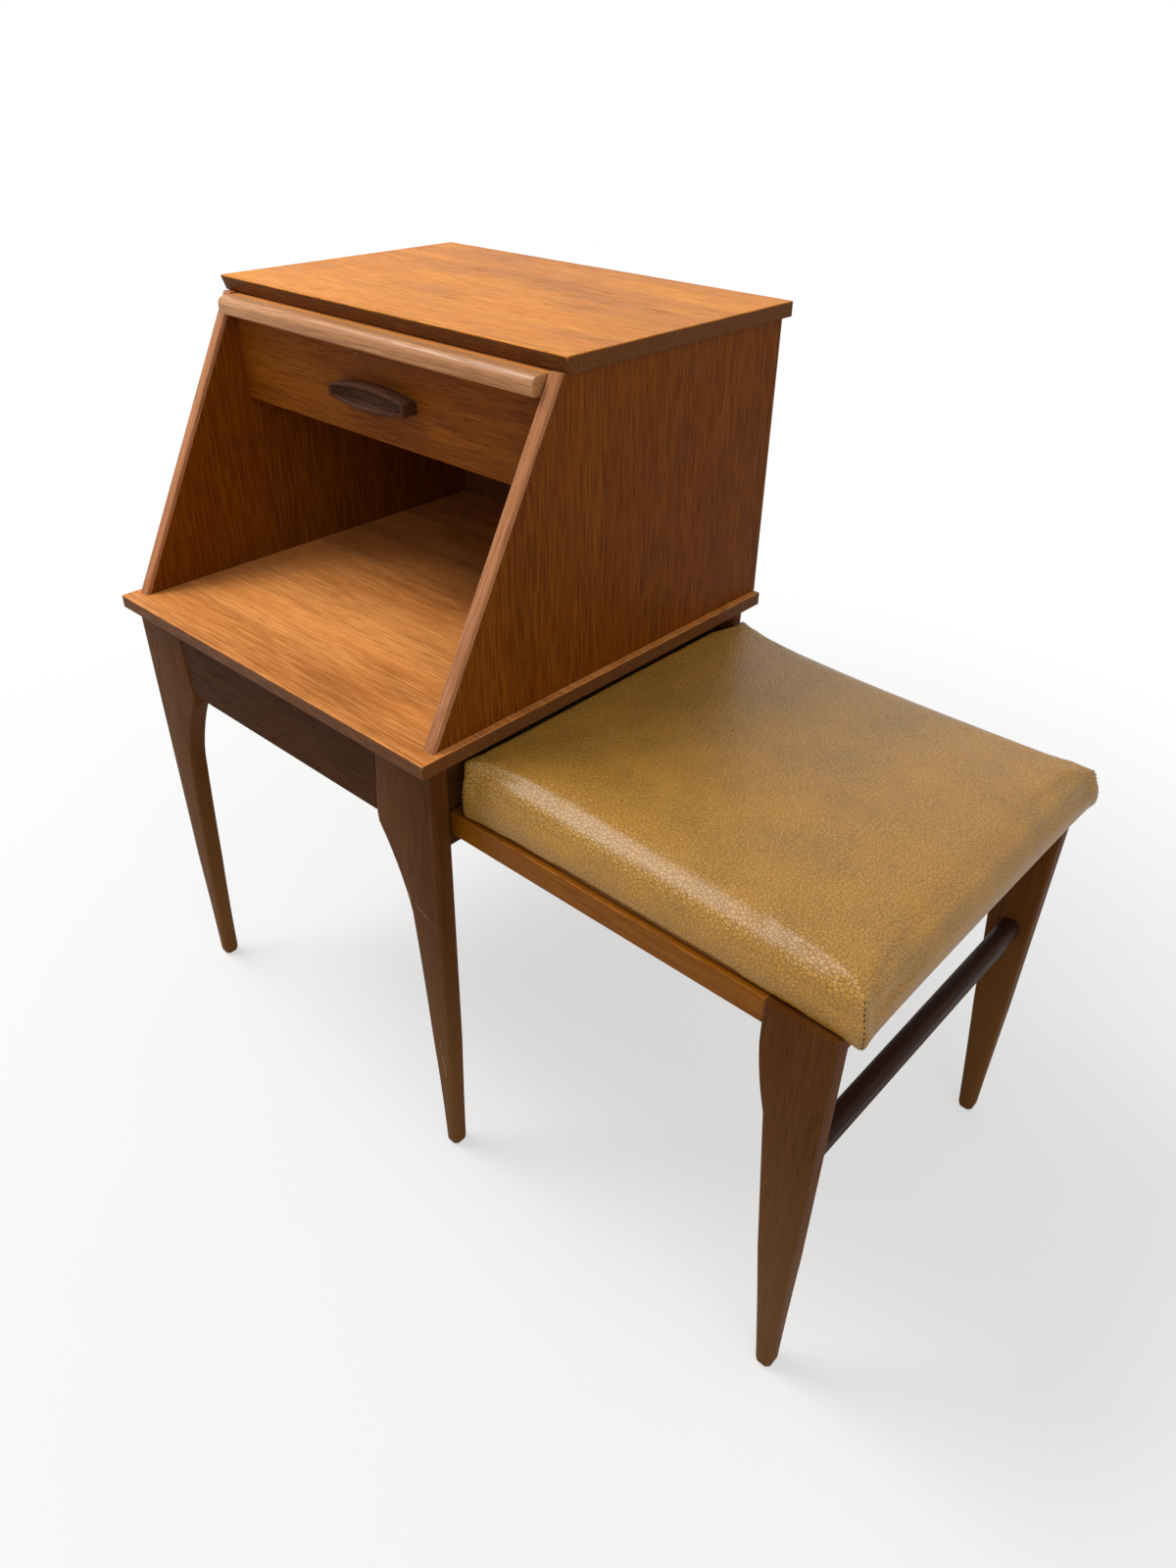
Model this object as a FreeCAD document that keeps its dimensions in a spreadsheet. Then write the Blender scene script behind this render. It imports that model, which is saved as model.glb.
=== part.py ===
import FreeCAD, Part
import math
import os
import re
import Sketcher

# A telephone bench: a small cabinet with a drawer, a pull-out writing slide and an open shelf stands on
# four shaped legs, and a padded seat on two more legs is joined to the cabinet's right side.
#
# Places are given across (x) from the shelf's left edge, deep (y) from the shelf's front edge and high (z)
# from the floor. The whole object is then centred over the origin, with the floor at height 0.

# Driving sizes in millimetres
SIZES = {
    # The whole object
    "total_length": 788.0,
    "total_height": 714.0,
    # Cabinet boards
    "shelf_width": 432.0,
    "shelf_depth": 427.0,
    "shelf_top": 452.0,
    "board": 12.5,
    "arris": 1.2,
    "top_side_overhang": 4.5,
    "top_back_overhang": 7.0,
    "top_setback": 2.0,
    "top_undercut": 4.5,
    "side_inset": 6.5,
    "side_thick": 11.0,
    "side_low_front": 15.5,
    "side_slope_run": 138.5,
    "lipping": 4.5,
    "back_thick": 4.0,
    "back_rebate": 5.5,
    "back_gap": 0.2,
    # Writing slide
    "slide_gap": 1.2,
    "slide_side_gap": 1.5,
    "slide_thick": 9.0,
    "slide_back_gap": 8.0,
    "nosing_tall": 15.0,
    "nosing_deep": 15.0,
    "nosing_out": 17.0,
    "nosing_round": 4.0,
    "guide_wide": 14.0,
    "guide_tall": 11.0,
    "guide_front": 20.0,
    "running_gap": 0.3,
    "cross_rail_front": 25.0,
    "cross_rail_wide": 26.0,
    "stop_radius": 4.0,
    "stop_drop": 6.5,
    "stop_seat": 6.0,
    "stop_from_back": 14.0,
    "stop_from_side": 70.0,
    # Drawer
    "drawer_tall": 75.0,
    "drawer_gap": 1.0,
    "drawer_front_thick": 15.0,
    "drawer_side_thick": 10.0,
    "drawer_side_drop": 10.0,
    "drawer_behind": 18.0,
    "drawer_side_gap": 2.5,
    "drawer_side_lift": 5.0,
    "drawer_back_thick": 10.0,
    "drawer_back_drop": 6.0,
    "drawer_back_inset": 4.0,
    "drawer_bottom_thick": 4.0,
    "drawer_bottom_lift": 5.0,
    "groove_deep": 4.0,
    "groove_gap": 0.15,
    "runner_wide": 7.0,
    "runner_tall": 10.0,
    "runner_front": 20.0,
    "runner_behind": 7.0,
    "runner_slot_deep": 5.0,
    # Drawer handle
    "handle_wide": 98.0,
    "handle_tall": 21.0,
    "handle_end_tall": 9.5,
    "handle_deep": 14.0,
    "handle_back_shrink": 3.0,
    "handle_rim": 3.0,
    "handle_scoop": 6.0,
    "handle_screw_spread": 50.0,
    "handle_screw_bite": 6.0,
    # Legs and aprons under the shelf
    "leg_inset": 11.0,
    "leg_back_inset": 19.0,
    "leg_thick": 17.5,
    "leg_out_top": 4.3,
    "leg_out_foot": 10.5,
    "leg_in_top": 73.0,
    "leg_in_shoulder": 80.0,
    "leg_shoulder_drop": 76.5,
    "leg_in_waist": 45.0,
    "leg_waist_drop": 155.5,
    "shoulder_hollow": 3.5,
    "waist_round": 60.0,
    "leg_hollow": 3.0,
    "leg_in_foot": 26.5,
    "leg_round": 3.0,
    "foot_round": 5.0,
    "apron_tall": 69.5,
    "apron_thick": 16.0,
    "apron_setback": 1.0,
    "side_apron_inset": 17.0,
    "side_apron_drop": 10.0,
    "block_wide": 36.0,
    "block_tall": 34.0,
    # Seat frame
    "seat_drop": 68.0,
    "seat_front": 35.0,
    "seat_back_inset": 18.0,
    "seat_leg_thick": 18.5,
    "seat_leg_inset": 14.5,
    "seat_leg_head": 56.0,
    "seat_shoulder_drop": 36.0,
    "seat_waist_drop": 98.0,
    "seat_waist_wide": 45.5,
    "seat_foot_wide": 16.0,
    "seat_leg_lean": 4.0,
    "seat_swell": 1.5,
    "rail_setback": 3.0,
    "rail_thick": 18.0,
    "rail_tall": 22.0,
    "end_rail_inset": 3.0,
    "stretcher_wide": 17.0,
    "stretcher_tall": 21.0,
    "stretcher_high": 239.5,
    "stretcher_inset": 10.5,
    "stretcher_round": 6.5,
    "tenon_radius": 5.5,
    "tenon_long": 12.0,
    # Seat
    "base_thick": 9.0,
    "base_margin": 5.5,
    "base_gap": 0.4,
    "cushion_left_gap": 3.5,
    "cushion_front_inset": 4.0,
    "cushion_edge_tall": 35.0,
    "cushion_edge_swell": 2.0,
    "cushion_crown": 7.5,
    "cushion_draw": 3.0,
    "cushion_end_roll": 5.0,
    "cushion_foot_tall": 8.0,
    "cushion_corner_roll": 4.0,
    "cushion_front_roll": 16.0,
    "cushion_back_roll": 7.0,
    # Joints
    "peg_radius": 3.0,
    "peg_long": 24.0,
    "peg_in_board": 8.0,
    "dowel_radius": 4.0,
    "dowel_long": 30.0,
    "dowel_in_leg": 11.0,
    "glue_gap": 0.05,
    "end_gap": 0.5,
    "screw_radius": 1.75,
    "screw_head_radius": 3.5,
    "screw_head_tall": 2.0,
    "screw_gap": 0.25,
    "block_screw_bite": 7.0,
    "seat_screw_bite": 6.0,
}

# Places and sizes worked out from the driving sizes
WORKED = {
    "total_depth": "shelf_depth + top_back_overhang",
    "shelf_under": "shelf_top - board",
    "top_under": "total_height - board",
    "side_tall": "top_under - shelf_top",
    "side_deep": "shelf_depth - side_low_front",
    "side_in_left": "side_inset + side_thick",
    "side_in_right": "shelf_width - side_in_left",
    "inner_wide": "shelf_width - 2 * side_in_left",
    "top_front": "side_low_front + side_slope_run + top_setback",
    "top_wide": "shelf_width - 2 * side_inset + 2 * top_side_overhang",
    "top_deep": "shelf_depth + top_back_overhang - top_front",
    "back_front": "shelf_depth - back_thick",
    "slide_top": "top_under - slide_gap",
    "slide_under": "slide_top - slide_thick",
    "slide_left": "side_in_left + slide_side_gap",
    "slide_wide": "inner_wide - 2 * slide_side_gap",
    "nosing_under": "slide_top - nosing_tall",
    "nosing_front": "top_front - nosing_out",
    "slide_front": "nosing_front + nosing_deep",
    "slide_back": "back_front - slide_back_gap",
    "guide_top": "slide_under - running_gap",
    "guide_under": "guide_top - guide_tall",
    "guide_start": "top_front + guide_front",
    "cross_rail_start": "top_front + cross_rail_front",
    "drawer_top": "nosing_under - drawer_gap",
    "drawer_under": "drawer_top - drawer_tall",
    "drawer_left": "side_in_left + drawer_gap",
    "drawer_wide": "inner_wide - 2 * drawer_gap",
    "drawer_back_face": "top_front + drawer_front_thick",
    "box_under": "drawer_under + drawer_side_lift",
    "box_left": "side_in_left + drawer_side_gap",
    "box_right": "shelf_width - box_left",
    "box_in_left": "box_left + drawer_side_thick",
    "box_in_right": "shelf_width - box_in_left",
    "box_end": "back_front - drawer_behind",
    "drawer_side_long": "box_end - drawer_back_face",
    "drawer_side_tall": "drawer_tall - drawer_side_lift - drawer_side_drop",
    "bottom_under": "box_under + drawer_bottom_lift",
    "bottom_top": "bottom_under + drawer_bottom_thick",
    "runner_under": "box_under + drawer_side_tall / 2 - runner_tall / 2",
    "runner_start": "top_front + runner_front",
    "runner_long": "back_front - runner_behind - runner_start",
    "handle_high": "drawer_under + drawer_tall / 2",
    "leg_back_front": "shelf_depth - leg_back_inset - leg_thick",
    "leg_front_back": "leg_inset + leg_thick",
    "apron_under": "shelf_under - apron_tall",
    "shoulder_high": "shelf_under - leg_shoulder_drop",
    "waist_high": "shelf_under - leg_waist_drop",
    "apron_in_low": "leg_in_top + (leg_in_shoulder - leg_in_top) * apron_tall / leg_shoulder_drop",
    "side_apron_right": "shelf_width - side_apron_inset",
    "side_apron_under": "rail_under - side_apron_drop",
    "side_apron_tall": "shelf_under - side_apron_under",
    "leg_out_slope": "(leg_out_foot - leg_out_top) / shelf_under",
    "leg_out_at_seat": "leg_out_top + leg_out_slope * (shelf_under - seat_top)",
    "seat_top": "shelf_top - seat_drop",
    "seat_back": "shelf_depth - seat_back_inset",
    "seat_leg_right": "total_length - seat_leg_inset",
    "seat_shoulder_high": "seat_top - seat_shoulder_drop",
    "seat_waist_high": "seat_top - seat_waist_drop",
    "rail_under": "seat_top - rail_tall",
    "rail_front": "seat_front + rail_setback",
    "rail_back": "seat_back - rail_setback - rail_thick",
    "seat_leg_left": "seat_leg_right - seat_leg_head",
    "seat_front_in": "seat_front + seat_leg_thick",
    "seat_back_in": "seat_back - seat_leg_thick",
    "end_rail_left": "seat_leg_right - end_rail_inset - rail_thick",
    "stretcher_left": "seat_leg_right - stretcher_inset - stretcher_wide",
    "cushion_left": "shelf_width - cushion_left_gap",
    "cushion_front": "seat_front + cushion_front_inset",
    "cushion_back": "seat_back - cushion_front_inset",
    "base_left": "cushion_left + base_margin",
    "base_front": "cushion_front + base_margin",
    "base_wide": "total_length - cushion_left - 2 * base_margin",
    "base_deep": "cushion_back - cushion_front - 2 * base_margin",
}

LEFT_TO_RIGHT = FreeCAD.Rotation(FreeCAD.Vector(0, 0, 1), FreeCAD.Vector(1, 0, 0))
FRONT_TO_BACK = FreeCAD.Rotation(FreeCAD.Vector(0, 0, 1), FreeCAD.Vector(0, 1, 0))
UPWARDS = FreeCAD.Rotation()

doc = FreeCAD.newDocument("telephone_bench")
sheet = doc.addObject("Spreadsheet::Sheet", "Sizes")
for row, (size_name, size_value) in enumerate(SIZES.items(), start=1):
    sheet.set(f"A{row}", size_name)
    sheet.set(f"B{row}", str(size_value))
    sheet.setAlias(f"B{row}", size_name)
doc.recompute()

parts = []

# Less than this counts as no length, when edges are picked by their boxes
THIN = 0.01


def near(one, other):
    return abs(one - other) < THIN


def bind(text):
    """Write a formula of size names as an expression on the sheet's cells."""
    def swap(match):
        word = match.group(0)
        if word in SIZES:
            return f"Sizes.{word}"
        if word in WORKED:
            return f"({bind(WORKED[word])})"
        return word
    return re.sub(r"[a-z_]+", swap, str(text))


def number(text):
    """The present value of a formula."""
    return float(sheet.evalExpression(bind(text)))


def place(item, across, deep, high):
    """Tie an object's place to its formulas, with the whole bench centred over the origin."""
    item.setExpression("Placement.Base.x", bind(f"{across} - total_length / 2"))
    item.setExpression("Placement.Base.y", bind(f"{deep} - total_depth / 2"))
    item.setExpression("Placement.Base.z", bind(high))


def keep(item, label):
    """Name a finished piece and list it for export."""
    item.Label = label
    parts.append(item)
    return item


def new_body(label):
    return doc.addObject("PartDesign::Body", label.title().replace("_", ""))


def sketch_on(body, role, away=None):
    """A sketch on one of the body's own planes, moved off it by a formula where one is given."""
    sketch = body.newObject("Sketcher::SketchObject", "Outline")
    plane = [feature for feature in body.Origin.OriginFeatures if feature.Role == role][0]
    sketch.AttachmentSupport = [(plane, "")]
    sketch.MapMode = "FlatFace"
    if away is not None:
        sketch.setExpression("AttachmentOffset.Base.z", bind(away))
    return sketch


def hold_point(sketch, edge, end, axis, text):
    """Hold one end of an edge at a formula along an axis of the sketch."""
    if str(text) == "0":
        line_of_axis = {"DistanceX": -2, "DistanceY": -1}[axis]
        sketch.addConstraint(Sketcher.Constraint("PointOnObject", edge, end, line_of_axis))
        return
    index = sketch.addConstraint(Sketcher.Constraint(axis, -1, 1, edge, end, number(text)))
    sketch.setExpression(f"Constraints[{index}]", bind(text))


def arc_between(start, finish, rise):
    """An arc from start to finish that stands out by rise to the right of the way it goes."""
    along = finish - start
    outward = FreeCAD.Vector(along.y, -along.x, 0).normalize()
    return Part.Arc(start, (start + finish) / 2 + outward * rise, finish)


def outline(sketch, corners):
    """A closed outline, anticlockwise. A corner is (x, y), or (x, y, rise) where an arc starts."""
    spots = [FreeCAD.Vector(number(corner[0]), number(corner[1]), 0) for corner in corners]
    starts = []
    for index, corner in enumerate(corners):
        start = spots[index]
        finish = spots[(index + 1) % len(corners)]
        rise = number(corner[2]) if len(corner) == 3 else 0.0
        if rise == 0.0:
            sketch.addGeometry(Part.LineSegment(start, finish), False)
        else:
            sketch.addGeometry(arc_between(start, finish, rise), False)
        starts.append(1 if rise >= 0 else 2)
    for index, corner in enumerate(corners):
        following = (index + 1) % len(corners)
        finish_end = 3 - starts[index]
        sketch.addConstraint(
            Sketcher.Constraint("Coincident", index, finish_end, following, starts[following])
        )
    for index, corner in enumerate(corners):
        hold_point(sketch, index, starts[index], "DistanceX", corner[0])
        hold_point(sketch, index, starts[index], "DistanceY", corner[1])
        if len(corner) == 3:
            following = corners[(index + 1) % len(corners)]
            rise = f"abs({corner[2]})"
            wide = f"({following[0]} - ({corner[0]}))"
            tall = f"({following[1]} - ({corner[1]}))"
            radius = f"({wide} ^ 2 + {tall} ^ 2) / (8 * {rise}) + {rise} / 2"
            held = sketch.addConstraint(Sketcher.Constraint("Radius", index, number(radius)))
            sketch.setExpression(f"Constraints[{held}]", bind(radius))


def rectangle(sketch, wide, tall):
    outline(sketch, [("0", "0"), (wide, "0"), (wide, tall), ("0", tall)])


def padded_sketch(body, sketch, thick, backwards=False):
    """Push the sketch out to a solid of the given thickness."""
    pad = body.newObject("PartDesign::Pad", "Pad")
    pad.Profile = sketch
    pad.Reversed = backwards
    pad.setExpression("Length", bind(thick))
    doc.recompute()
    return pad


def edges_where(feature, test):
    """Names of the edges whose bounding boxes pass the test."""
    names = []
    for index, edge in enumerate(feature.Shape.Edges, start=1):
        if test(edge.BoundBox):
            names.append(f"Edge{index}")
    return names


def rounded(body, feature, names, radius):
    """Round the named edges of the body's last feature."""
    fillet = body.newObject("PartDesign::Fillet", "Round")
    fillet.Base = (feature, names)
    fillet.setExpression("Radius", bind(radius))
    doc.recompute()
    return fillet


def board(label, left, front, under, wide, deep, tall, worn="arris"):
    """A square-cut board with its long arrises taken off."""
    body = new_body(label)
    sketch = sketch_on(body, "XY_Plane")
    rectangle(sketch, wide, deep)
    pad = padded_sketch(body, sketch, tall)
    if worn is not None:
        longest = max(number(wide), number(deep), number(tall))
        names = edges_where(pad, lambda box: box.DiagonalLength > longest - THIN)
        rounded(body, pad, names, worn)
    place(body, left, front, under)
    return body


def block(label, left, front, under, wide, deep, tall):
    """A plain box, for small strips and for cuts."""
    box = doc.addObject("Part::Box", label.title().replace("_", ""))
    box.setExpression("Length", bind(wide))
    box.setExpression("Width", bind(deep))
    box.setExpression("Height", bind(tall))
    place(box, left, front, under)
    return box


def rod(label, across, deep, high, turn, radius, long):
    """A round rod from a point, along the way that turn gives."""
    cylinder = doc.addObject("Part::Cylinder", label.title().replace("_", ""))
    cylinder.Placement.Rotation = turn
    cylinder.setExpression("Radius", bind(radius))
    cylinder.setExpression("Height", bind(long))
    place(cylinder, across, deep, high)
    return cylinder


def peg_and_hole(across, deep, high, turn, radius, long):
    """A wooden peg, and the hole that takes it with room for glue round it and past its ends."""
    peg = rod("peg", across, deep, high, turn, radius, long)
    way = turn.multVec(FreeCAD.Vector(0, 0, 1))
    hole = rod(
        "hole",
        f"{across} - {round(way.x)} * end_gap",
        f"{deep} - {round(way.y)} * end_gap",
        f"{high} - {round(way.z)} * end_gap",
        turn,
        f"{radius} + glue_gap",
        f"{long} + 2 * end_gap",
    )
    return peg, hole


def screw_and_hole(across, deep, high, turn, long):
    """A screw whose head starts at a point and whose shank goes on along turn, and its clearance."""
    way = turn.multVec(FreeCAD.Vector(0, 0, 1))
    step = [f"{round(part)} * screw_head_tall" for part in (way.x, way.y, way.z)]
    head = rod("head", across, deep, high, turn, "screw_head_radius", "screw_head_tall")
    neck = (f"{across} + {step[0]}", f"{deep} + {step[1]}", f"{high} + {step[2]}")
    shank = rod("shank", *neck, turn, "screw_radius", long)
    screw = doc.addObject("Part::Fuse", "Screw")
    screw.Base = head
    screw.Tool = shank
    hole = rod("hole", *neck, turn, "screw_radius + screw_gap", f"{long} + end_gap")
    sink = rod("sink", across, deep, high, turn, "screw_head_radius + screw_gap", "screw_head_tall")
    return screw, hole, sink


def group(label, members):
    """Several separate solids that share one name."""
    compound = doc.addObject("Part::Compound", label.title().replace("_", ""))
    compound.Links = members
    return keep(compound, label)


def cut_from(label, base, tools):
    """A piece with several holes, grooves or rebates cut from it."""
    cutters = doc.addObject("Part::Compound", "Cutters")
    cutters.Links = tools
    doc.recompute()
    before = base.Shape.Volume
    result = doc.addObject("Part::Cut", label.title().replace("_", "") + "Cut")
    result.Base = base
    result.Tool = cutters
    doc.recompute()
    if result.Shape.Volume >= before:
        raise ValueError(f"nothing was cut from {label}")
    return keep(result, label)


# Pegs that join the side panels to the shelf and to the top board. Each share is of the joint's length
SHELF_PEG_SHARES = ("0.2", "0.8")
TOP_PEG_SHARES = ("0.25", "0.8")
carcase_pegs = []
shelf_holes = []
top_holes = []
side_holes = {"left": [], "right": []}
PANEL_MIDDLE = {
    "left": "side_inset + side_thick / 2",
    "right": "shelf_width - side_inset - side_thick / 2",
}
for hand, middle in PANEL_MIDDLE.items():
    for share in SHELF_PEG_SHARES:
        deep = f"side_low_front + {share} * side_deep"
        peg, hole = peg_and_hole(
            middle, deep, "shelf_top - peg_in_board", UPWARDS, "peg_radius", "peg_long"
        )
        carcase_pegs.append(peg)
        shelf_holes.append(hole)
        side_holes[hand].append(hole)
    for share in TOP_PEG_SHARES:
        deep = f"top_front + {share} * top_deep"
        peg, hole = peg_and_hole(
            middle, deep, "top_under + peg_in_board - peg_long", UPWARDS, "peg_radius", "peg_long"
        )
        carcase_pegs.append(peg)
        top_holes.append(hole)
        side_holes[hand].append(hole)


def make_top_board():
    """The top board, its front edge cut back towards the underside."""
    body = new_body("top_board")
    sketch = sketch_on(body, "YZ_Plane")
    outline(
        sketch,
        [("top_undercut", "0"), ("top_deep", "0"), ("top_deep", "board"), ("0", "board")],
    )
    pad = padded_sketch(body, sketch, "top_wide")
    wide = number("top_wide")
    names = edges_where(pad, lambda box: near(box.XLength, wide) and box.ZMin > number("board") / 2)
    rounded(body, pad, names, "arris")
    place(body, "side_inset - top_side_overhang", "top_front", "top_under")
    return cut_from("top_board", body, top_holes)


def make_side_panel(hand):
    """An upright side panel with a sloping front edge and a rebate for the back panel."""
    body = new_body("side_panel")
    sketch = sketch_on(body, "YZ_Plane")
    outline(
        sketch,
        [
            ("lipping", "0"),
            ("side_deep", "0"),
            ("side_deep", "side_tall"),
            ("side_slope_run + lipping", "side_tall"),
        ],
    )
    padded_sketch(body, sketch, "side_thick")
    left = {"left": "side_inset", "right": "side_in_right"}[hand]
    place(body, left, "side_low_front", "shelf_top")
    rebate_left = {"left": "side_in_left - back_rebate", "right": "side_in_right"}[hand]
    rebate = block(
        "rebate", rebate_left, "back_front", "shelf_top", "back_rebate", "back_thick", "side_tall"
    )
    return cut_from(f"side_panel_{hand}", body, [rebate] + side_holes[hand])


def make_side_lipping(hand):
    """The solid strip that covers a side panel's sloping front edge."""
    body = new_body("side_lipping")
    sketch = sketch_on(body, "YZ_Plane")
    outline(
        sketch,
        [
            ("0", "0"),
            ("lipping", "0"),
            ("side_slope_run + lipping", "side_tall"),
            ("side_slope_run", "side_tall"),
        ],
    )
    pad = padded_sketch(body, sketch, "side_thick")
    slope = number("side_slope_run")
    front = edges_where(pad, lambda box: near(box.YLength, slope) and box.YMin < THIN)
    rounded(body, pad, front, "arris")
    left = {"left": "side_inset", "right": "side_in_right"}[hand]
    place(body, left, "side_low_front", "shelf_top")
    return keep(body, f"side_lipping_{hand}")


def make_back_panel():
    """The thin back panel, which sits in the rebates of the side panels."""
    body = board(
        "back_panel",
        "side_in_left - back_rebate + back_gap",
        "back_front",
        "shelf_top",
        "inner_wide + 2 * (back_rebate - back_gap)",
        "back_thick",
        "side_tall",
        worn=None,
    )
    return keep(body, "back_panel")


# Screws that go up through the corner blocks into the shelf
block_screws = []
block_screw_holes = []
BLOCK_CORNERS = {
    "front_left": ("side_apron_inset + apron_thick", "leg_front_back", 0),
    "front_right": ("shelf_width - side_apron_inset - apron_thick", "leg_front_back", 90),
    "back_right": ("shelf_width - side_apron_inset - apron_thick", "leg_back_front", 180),
    "back_left": ("side_apron_inset + apron_thick", "leg_back_front", -90),
}
for corner, (across, deep, turn) in BLOCK_CORNERS.items():
    toward_x = 1 if "left" in corner else -1
    toward_y = 1 if "front" in corner else -1
    screw, hole, sink = screw_and_hole(
        f"{across} + {toward_x} * block_wide / 3",
        f"{deep} + {toward_y} * block_wide / 3",
        "shelf_under - block_tall - screw_head_tall",
        UPWARDS,
        "block_tall + block_screw_bite",
    )
    block_screws.append(screw)
    block_screw_holes.append(hole)


def make_shelf_board():
    """The lower board that the legs carry. It is the open shelf and the cabinet's floor."""
    body = board("shelf_board", "0", "0", "shelf_under", "shelf_width", "shelf_depth", "board")
    return cut_from("shelf_board", body, shelf_holes + block_screw_holes)


def make_slide():
    """The writing slide: a thin board, its nosing, and two pins that stop it coming out."""
    pins = []
    holes = []
    for across in ("slide_left + stop_from_side", "slide_left + slide_wide - stop_from_side"):
        pins.append(
            rod(
                "stop_pin",
                across,
                "slide_back - stop_from_back",
                "slide_under - stop_drop",
                UPWARDS,
                "stop_radius",
                "stop_drop + stop_seat",
            )
        )
        holes.append(
            rod(
                "pin_hole",
                across,
                "slide_back - stop_from_back",
                "slide_under",
                UPWARDS,
                "stop_radius + glue_gap",
                "stop_seat + glue_gap",
            )
        )
    body = board(
        "slide_board",
        "slide_left",
        "slide_front",
        "slide_under",
        "slide_wide",
        "slide_back - slide_front",
        "slide_thick",
        worn=None,
    )
    cut_from("slide_board", body, holes)
    group("slide_stop_pins", pins)
    nosing = new_body("slide_nosing")
    sketch = sketch_on(nosing, "YZ_Plane")
    rectangle(sketch, "nosing_deep", "nosing_tall")
    pad = padded_sketch(nosing, sketch, "slide_wide")
    wide = number("slide_wide")
    top_front = edges_where(
        pad, lambda box: near(box.XLength, wide) and box.YMax < THIN and box.ZMin > THIN
    )
    upper = rounded(nosing, pad, top_front, "nosing_round")
    low_front = edges_where(
        upper, lambda box: near(box.XLength, wide) and box.YMax < THIN and box.ZMax < THIN
    )
    rounded(nosing, upper, low_front, "nosing_round / 2")
    place(nosing, "slide_left", "nosing_front", "nosing_under")
    keep(nosing, "slide_nosing")


def make_slide_guides():
    """Strips on the side panels that carry the slide, and a cross rail that its pins stop against."""
    for hand in ("left", "right"):
        left = {"left": "side_in_left", "right": "side_in_right - guide_wide"}[hand]
        guide = block(
            "slide_guide",
            left,
            "guide_start",
            "guide_under",
            "guide_wide",
            "back_front - guide_start",
            "guide_tall",
        )
        keep(guide, f"slide_guide_{hand}")
    rail = block(
        "cross_rail",
        "side_in_left + guide_wide",
        "cross_rail_start",
        "guide_under",
        "inner_wide - 2 * guide_wide",
        "cross_rail_wide",
        "guide_tall",
    )
    keep(rail, "slide_cross_rail")


# Screws from inside the drawer into the handle
handle_screws = []
handle_holes = []
for side in ("-", "+"):
    screw, hole, sink = screw_and_hole(
        f"shelf_width / 2 {side} handle_screw_spread / 2",
        "drawer_back_face + screw_head_tall",
        "handle_high",
        FreeCAD.Rotation(FreeCAD.Vector(0, 0, 1), FreeCAD.Vector(0, -1, 0)),
        "drawer_front_thick + handle_screw_bite",
    )
    handle_screws.append(screw)
    handle_holes.append(hole)


def make_drawer_front():
    """The drawer front, with a groove behind for the bottom and holes for the handle's screws."""
    body = board(
        "drawer_front",
        "drawer_left",
        "top_front",
        "drawer_under",
        "drawer_wide",
        "drawer_front_thick",
        "drawer_tall",
    )
    groove = block(
        "groove",
        "box_in_left - groove_deep",
        "drawer_back_face - groove_deep",
        "bottom_under - groove_gap",
        "box_in_right - box_in_left + 2 * groove_deep",
        "groove_deep",
        "drawer_bottom_thick + 2 * groove_gap",
    )
    return cut_from("drawer_front", body, [groove] + handle_holes)


def make_drawer_side(hand):
    """A drawer side, grooved inside for the bottom and outside for the runner it hangs on."""
    left = {"left": "box_left", "right": "box_in_right"}[hand]
    side = block(
        "drawer_side",
        left,
        "drawer_back_face",
        "box_under",
        "drawer_side_thick",
        "drawer_side_long",
        "drawer_side_tall",
    )
    groove_left = {"left": "box_in_left - groove_deep", "right": "box_in_right"}[hand]
    groove = block(
        "groove",
        groove_left,
        "drawer_back_face",
        "bottom_under - groove_gap",
        "groove_deep",
        "drawer_side_long",
        "drawer_bottom_thick + 2 * groove_gap",
    )
    slot_left = {"left": "box_left", "right": "box_right - runner_slot_deep"}[hand]
    slot = block(
        "slot",
        slot_left,
        "drawer_back_face",
        "runner_under - running_gap",
        "runner_slot_deep",
        "drawer_side_long",
        "runner_tall + 2 * running_gap",
    )
    return cut_from(f"drawer_side_{hand}", side, [groove, slot])


def make_drawer_inside():
    """The drawer's back and its thin bottom."""
    back = block(
        "drawer_back",
        "box_in_left",
        "box_end - drawer_back_inset - drawer_back_thick",
        "bottom_top + groove_gap",
        "box_in_right - box_in_left",
        "drawer_back_thick",
        "box_under + drawer_side_tall - drawer_back_drop - bottom_top - groove_gap",
    )
    keep(back, "drawer_back")
    bottom = block(
        "drawer_bottom",
        "box_in_left - groove_deep + running_gap",
        "drawer_back_face - groove_deep + running_gap",
        "bottom_under",
        "box_in_right - box_in_left + 2 * (groove_deep - running_gap)",
        "drawer_side_long - drawer_back_inset + groove_deep - running_gap",
        "drawer_bottom_thick",
    )
    keep(bottom, "drawer_bottom")


def make_drawer_runner(hand):
    """A hardwood strip on a side panel that the drawer side's groove slides along."""
    left = {"left": "side_in_left", "right": "side_in_right - runner_wide"}[hand]
    runner = block(
        "drawer_runner",
        left,
        "runner_start",
        "runner_under",
        "runner_wide",
        "runner_long",
        "runner_tall",
    )
    return keep(runner, f"drawer_runner_{hand}")


def lens(sketch, margin):
    """The handle's outline seen from the front: two shallow arcs between short upright ends."""
    bow = "((handle_tall - handle_end_tall) / 2)"
    low = f"{bow} + {margin} / 2"
    high = f"handle_tall - {bow} - {margin} / 2"
    right = f"handle_wide - {margin}"
    outline(sketch, [(margin, low, bow), (right, low), (right, high, bow), (margin, high)])


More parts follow.
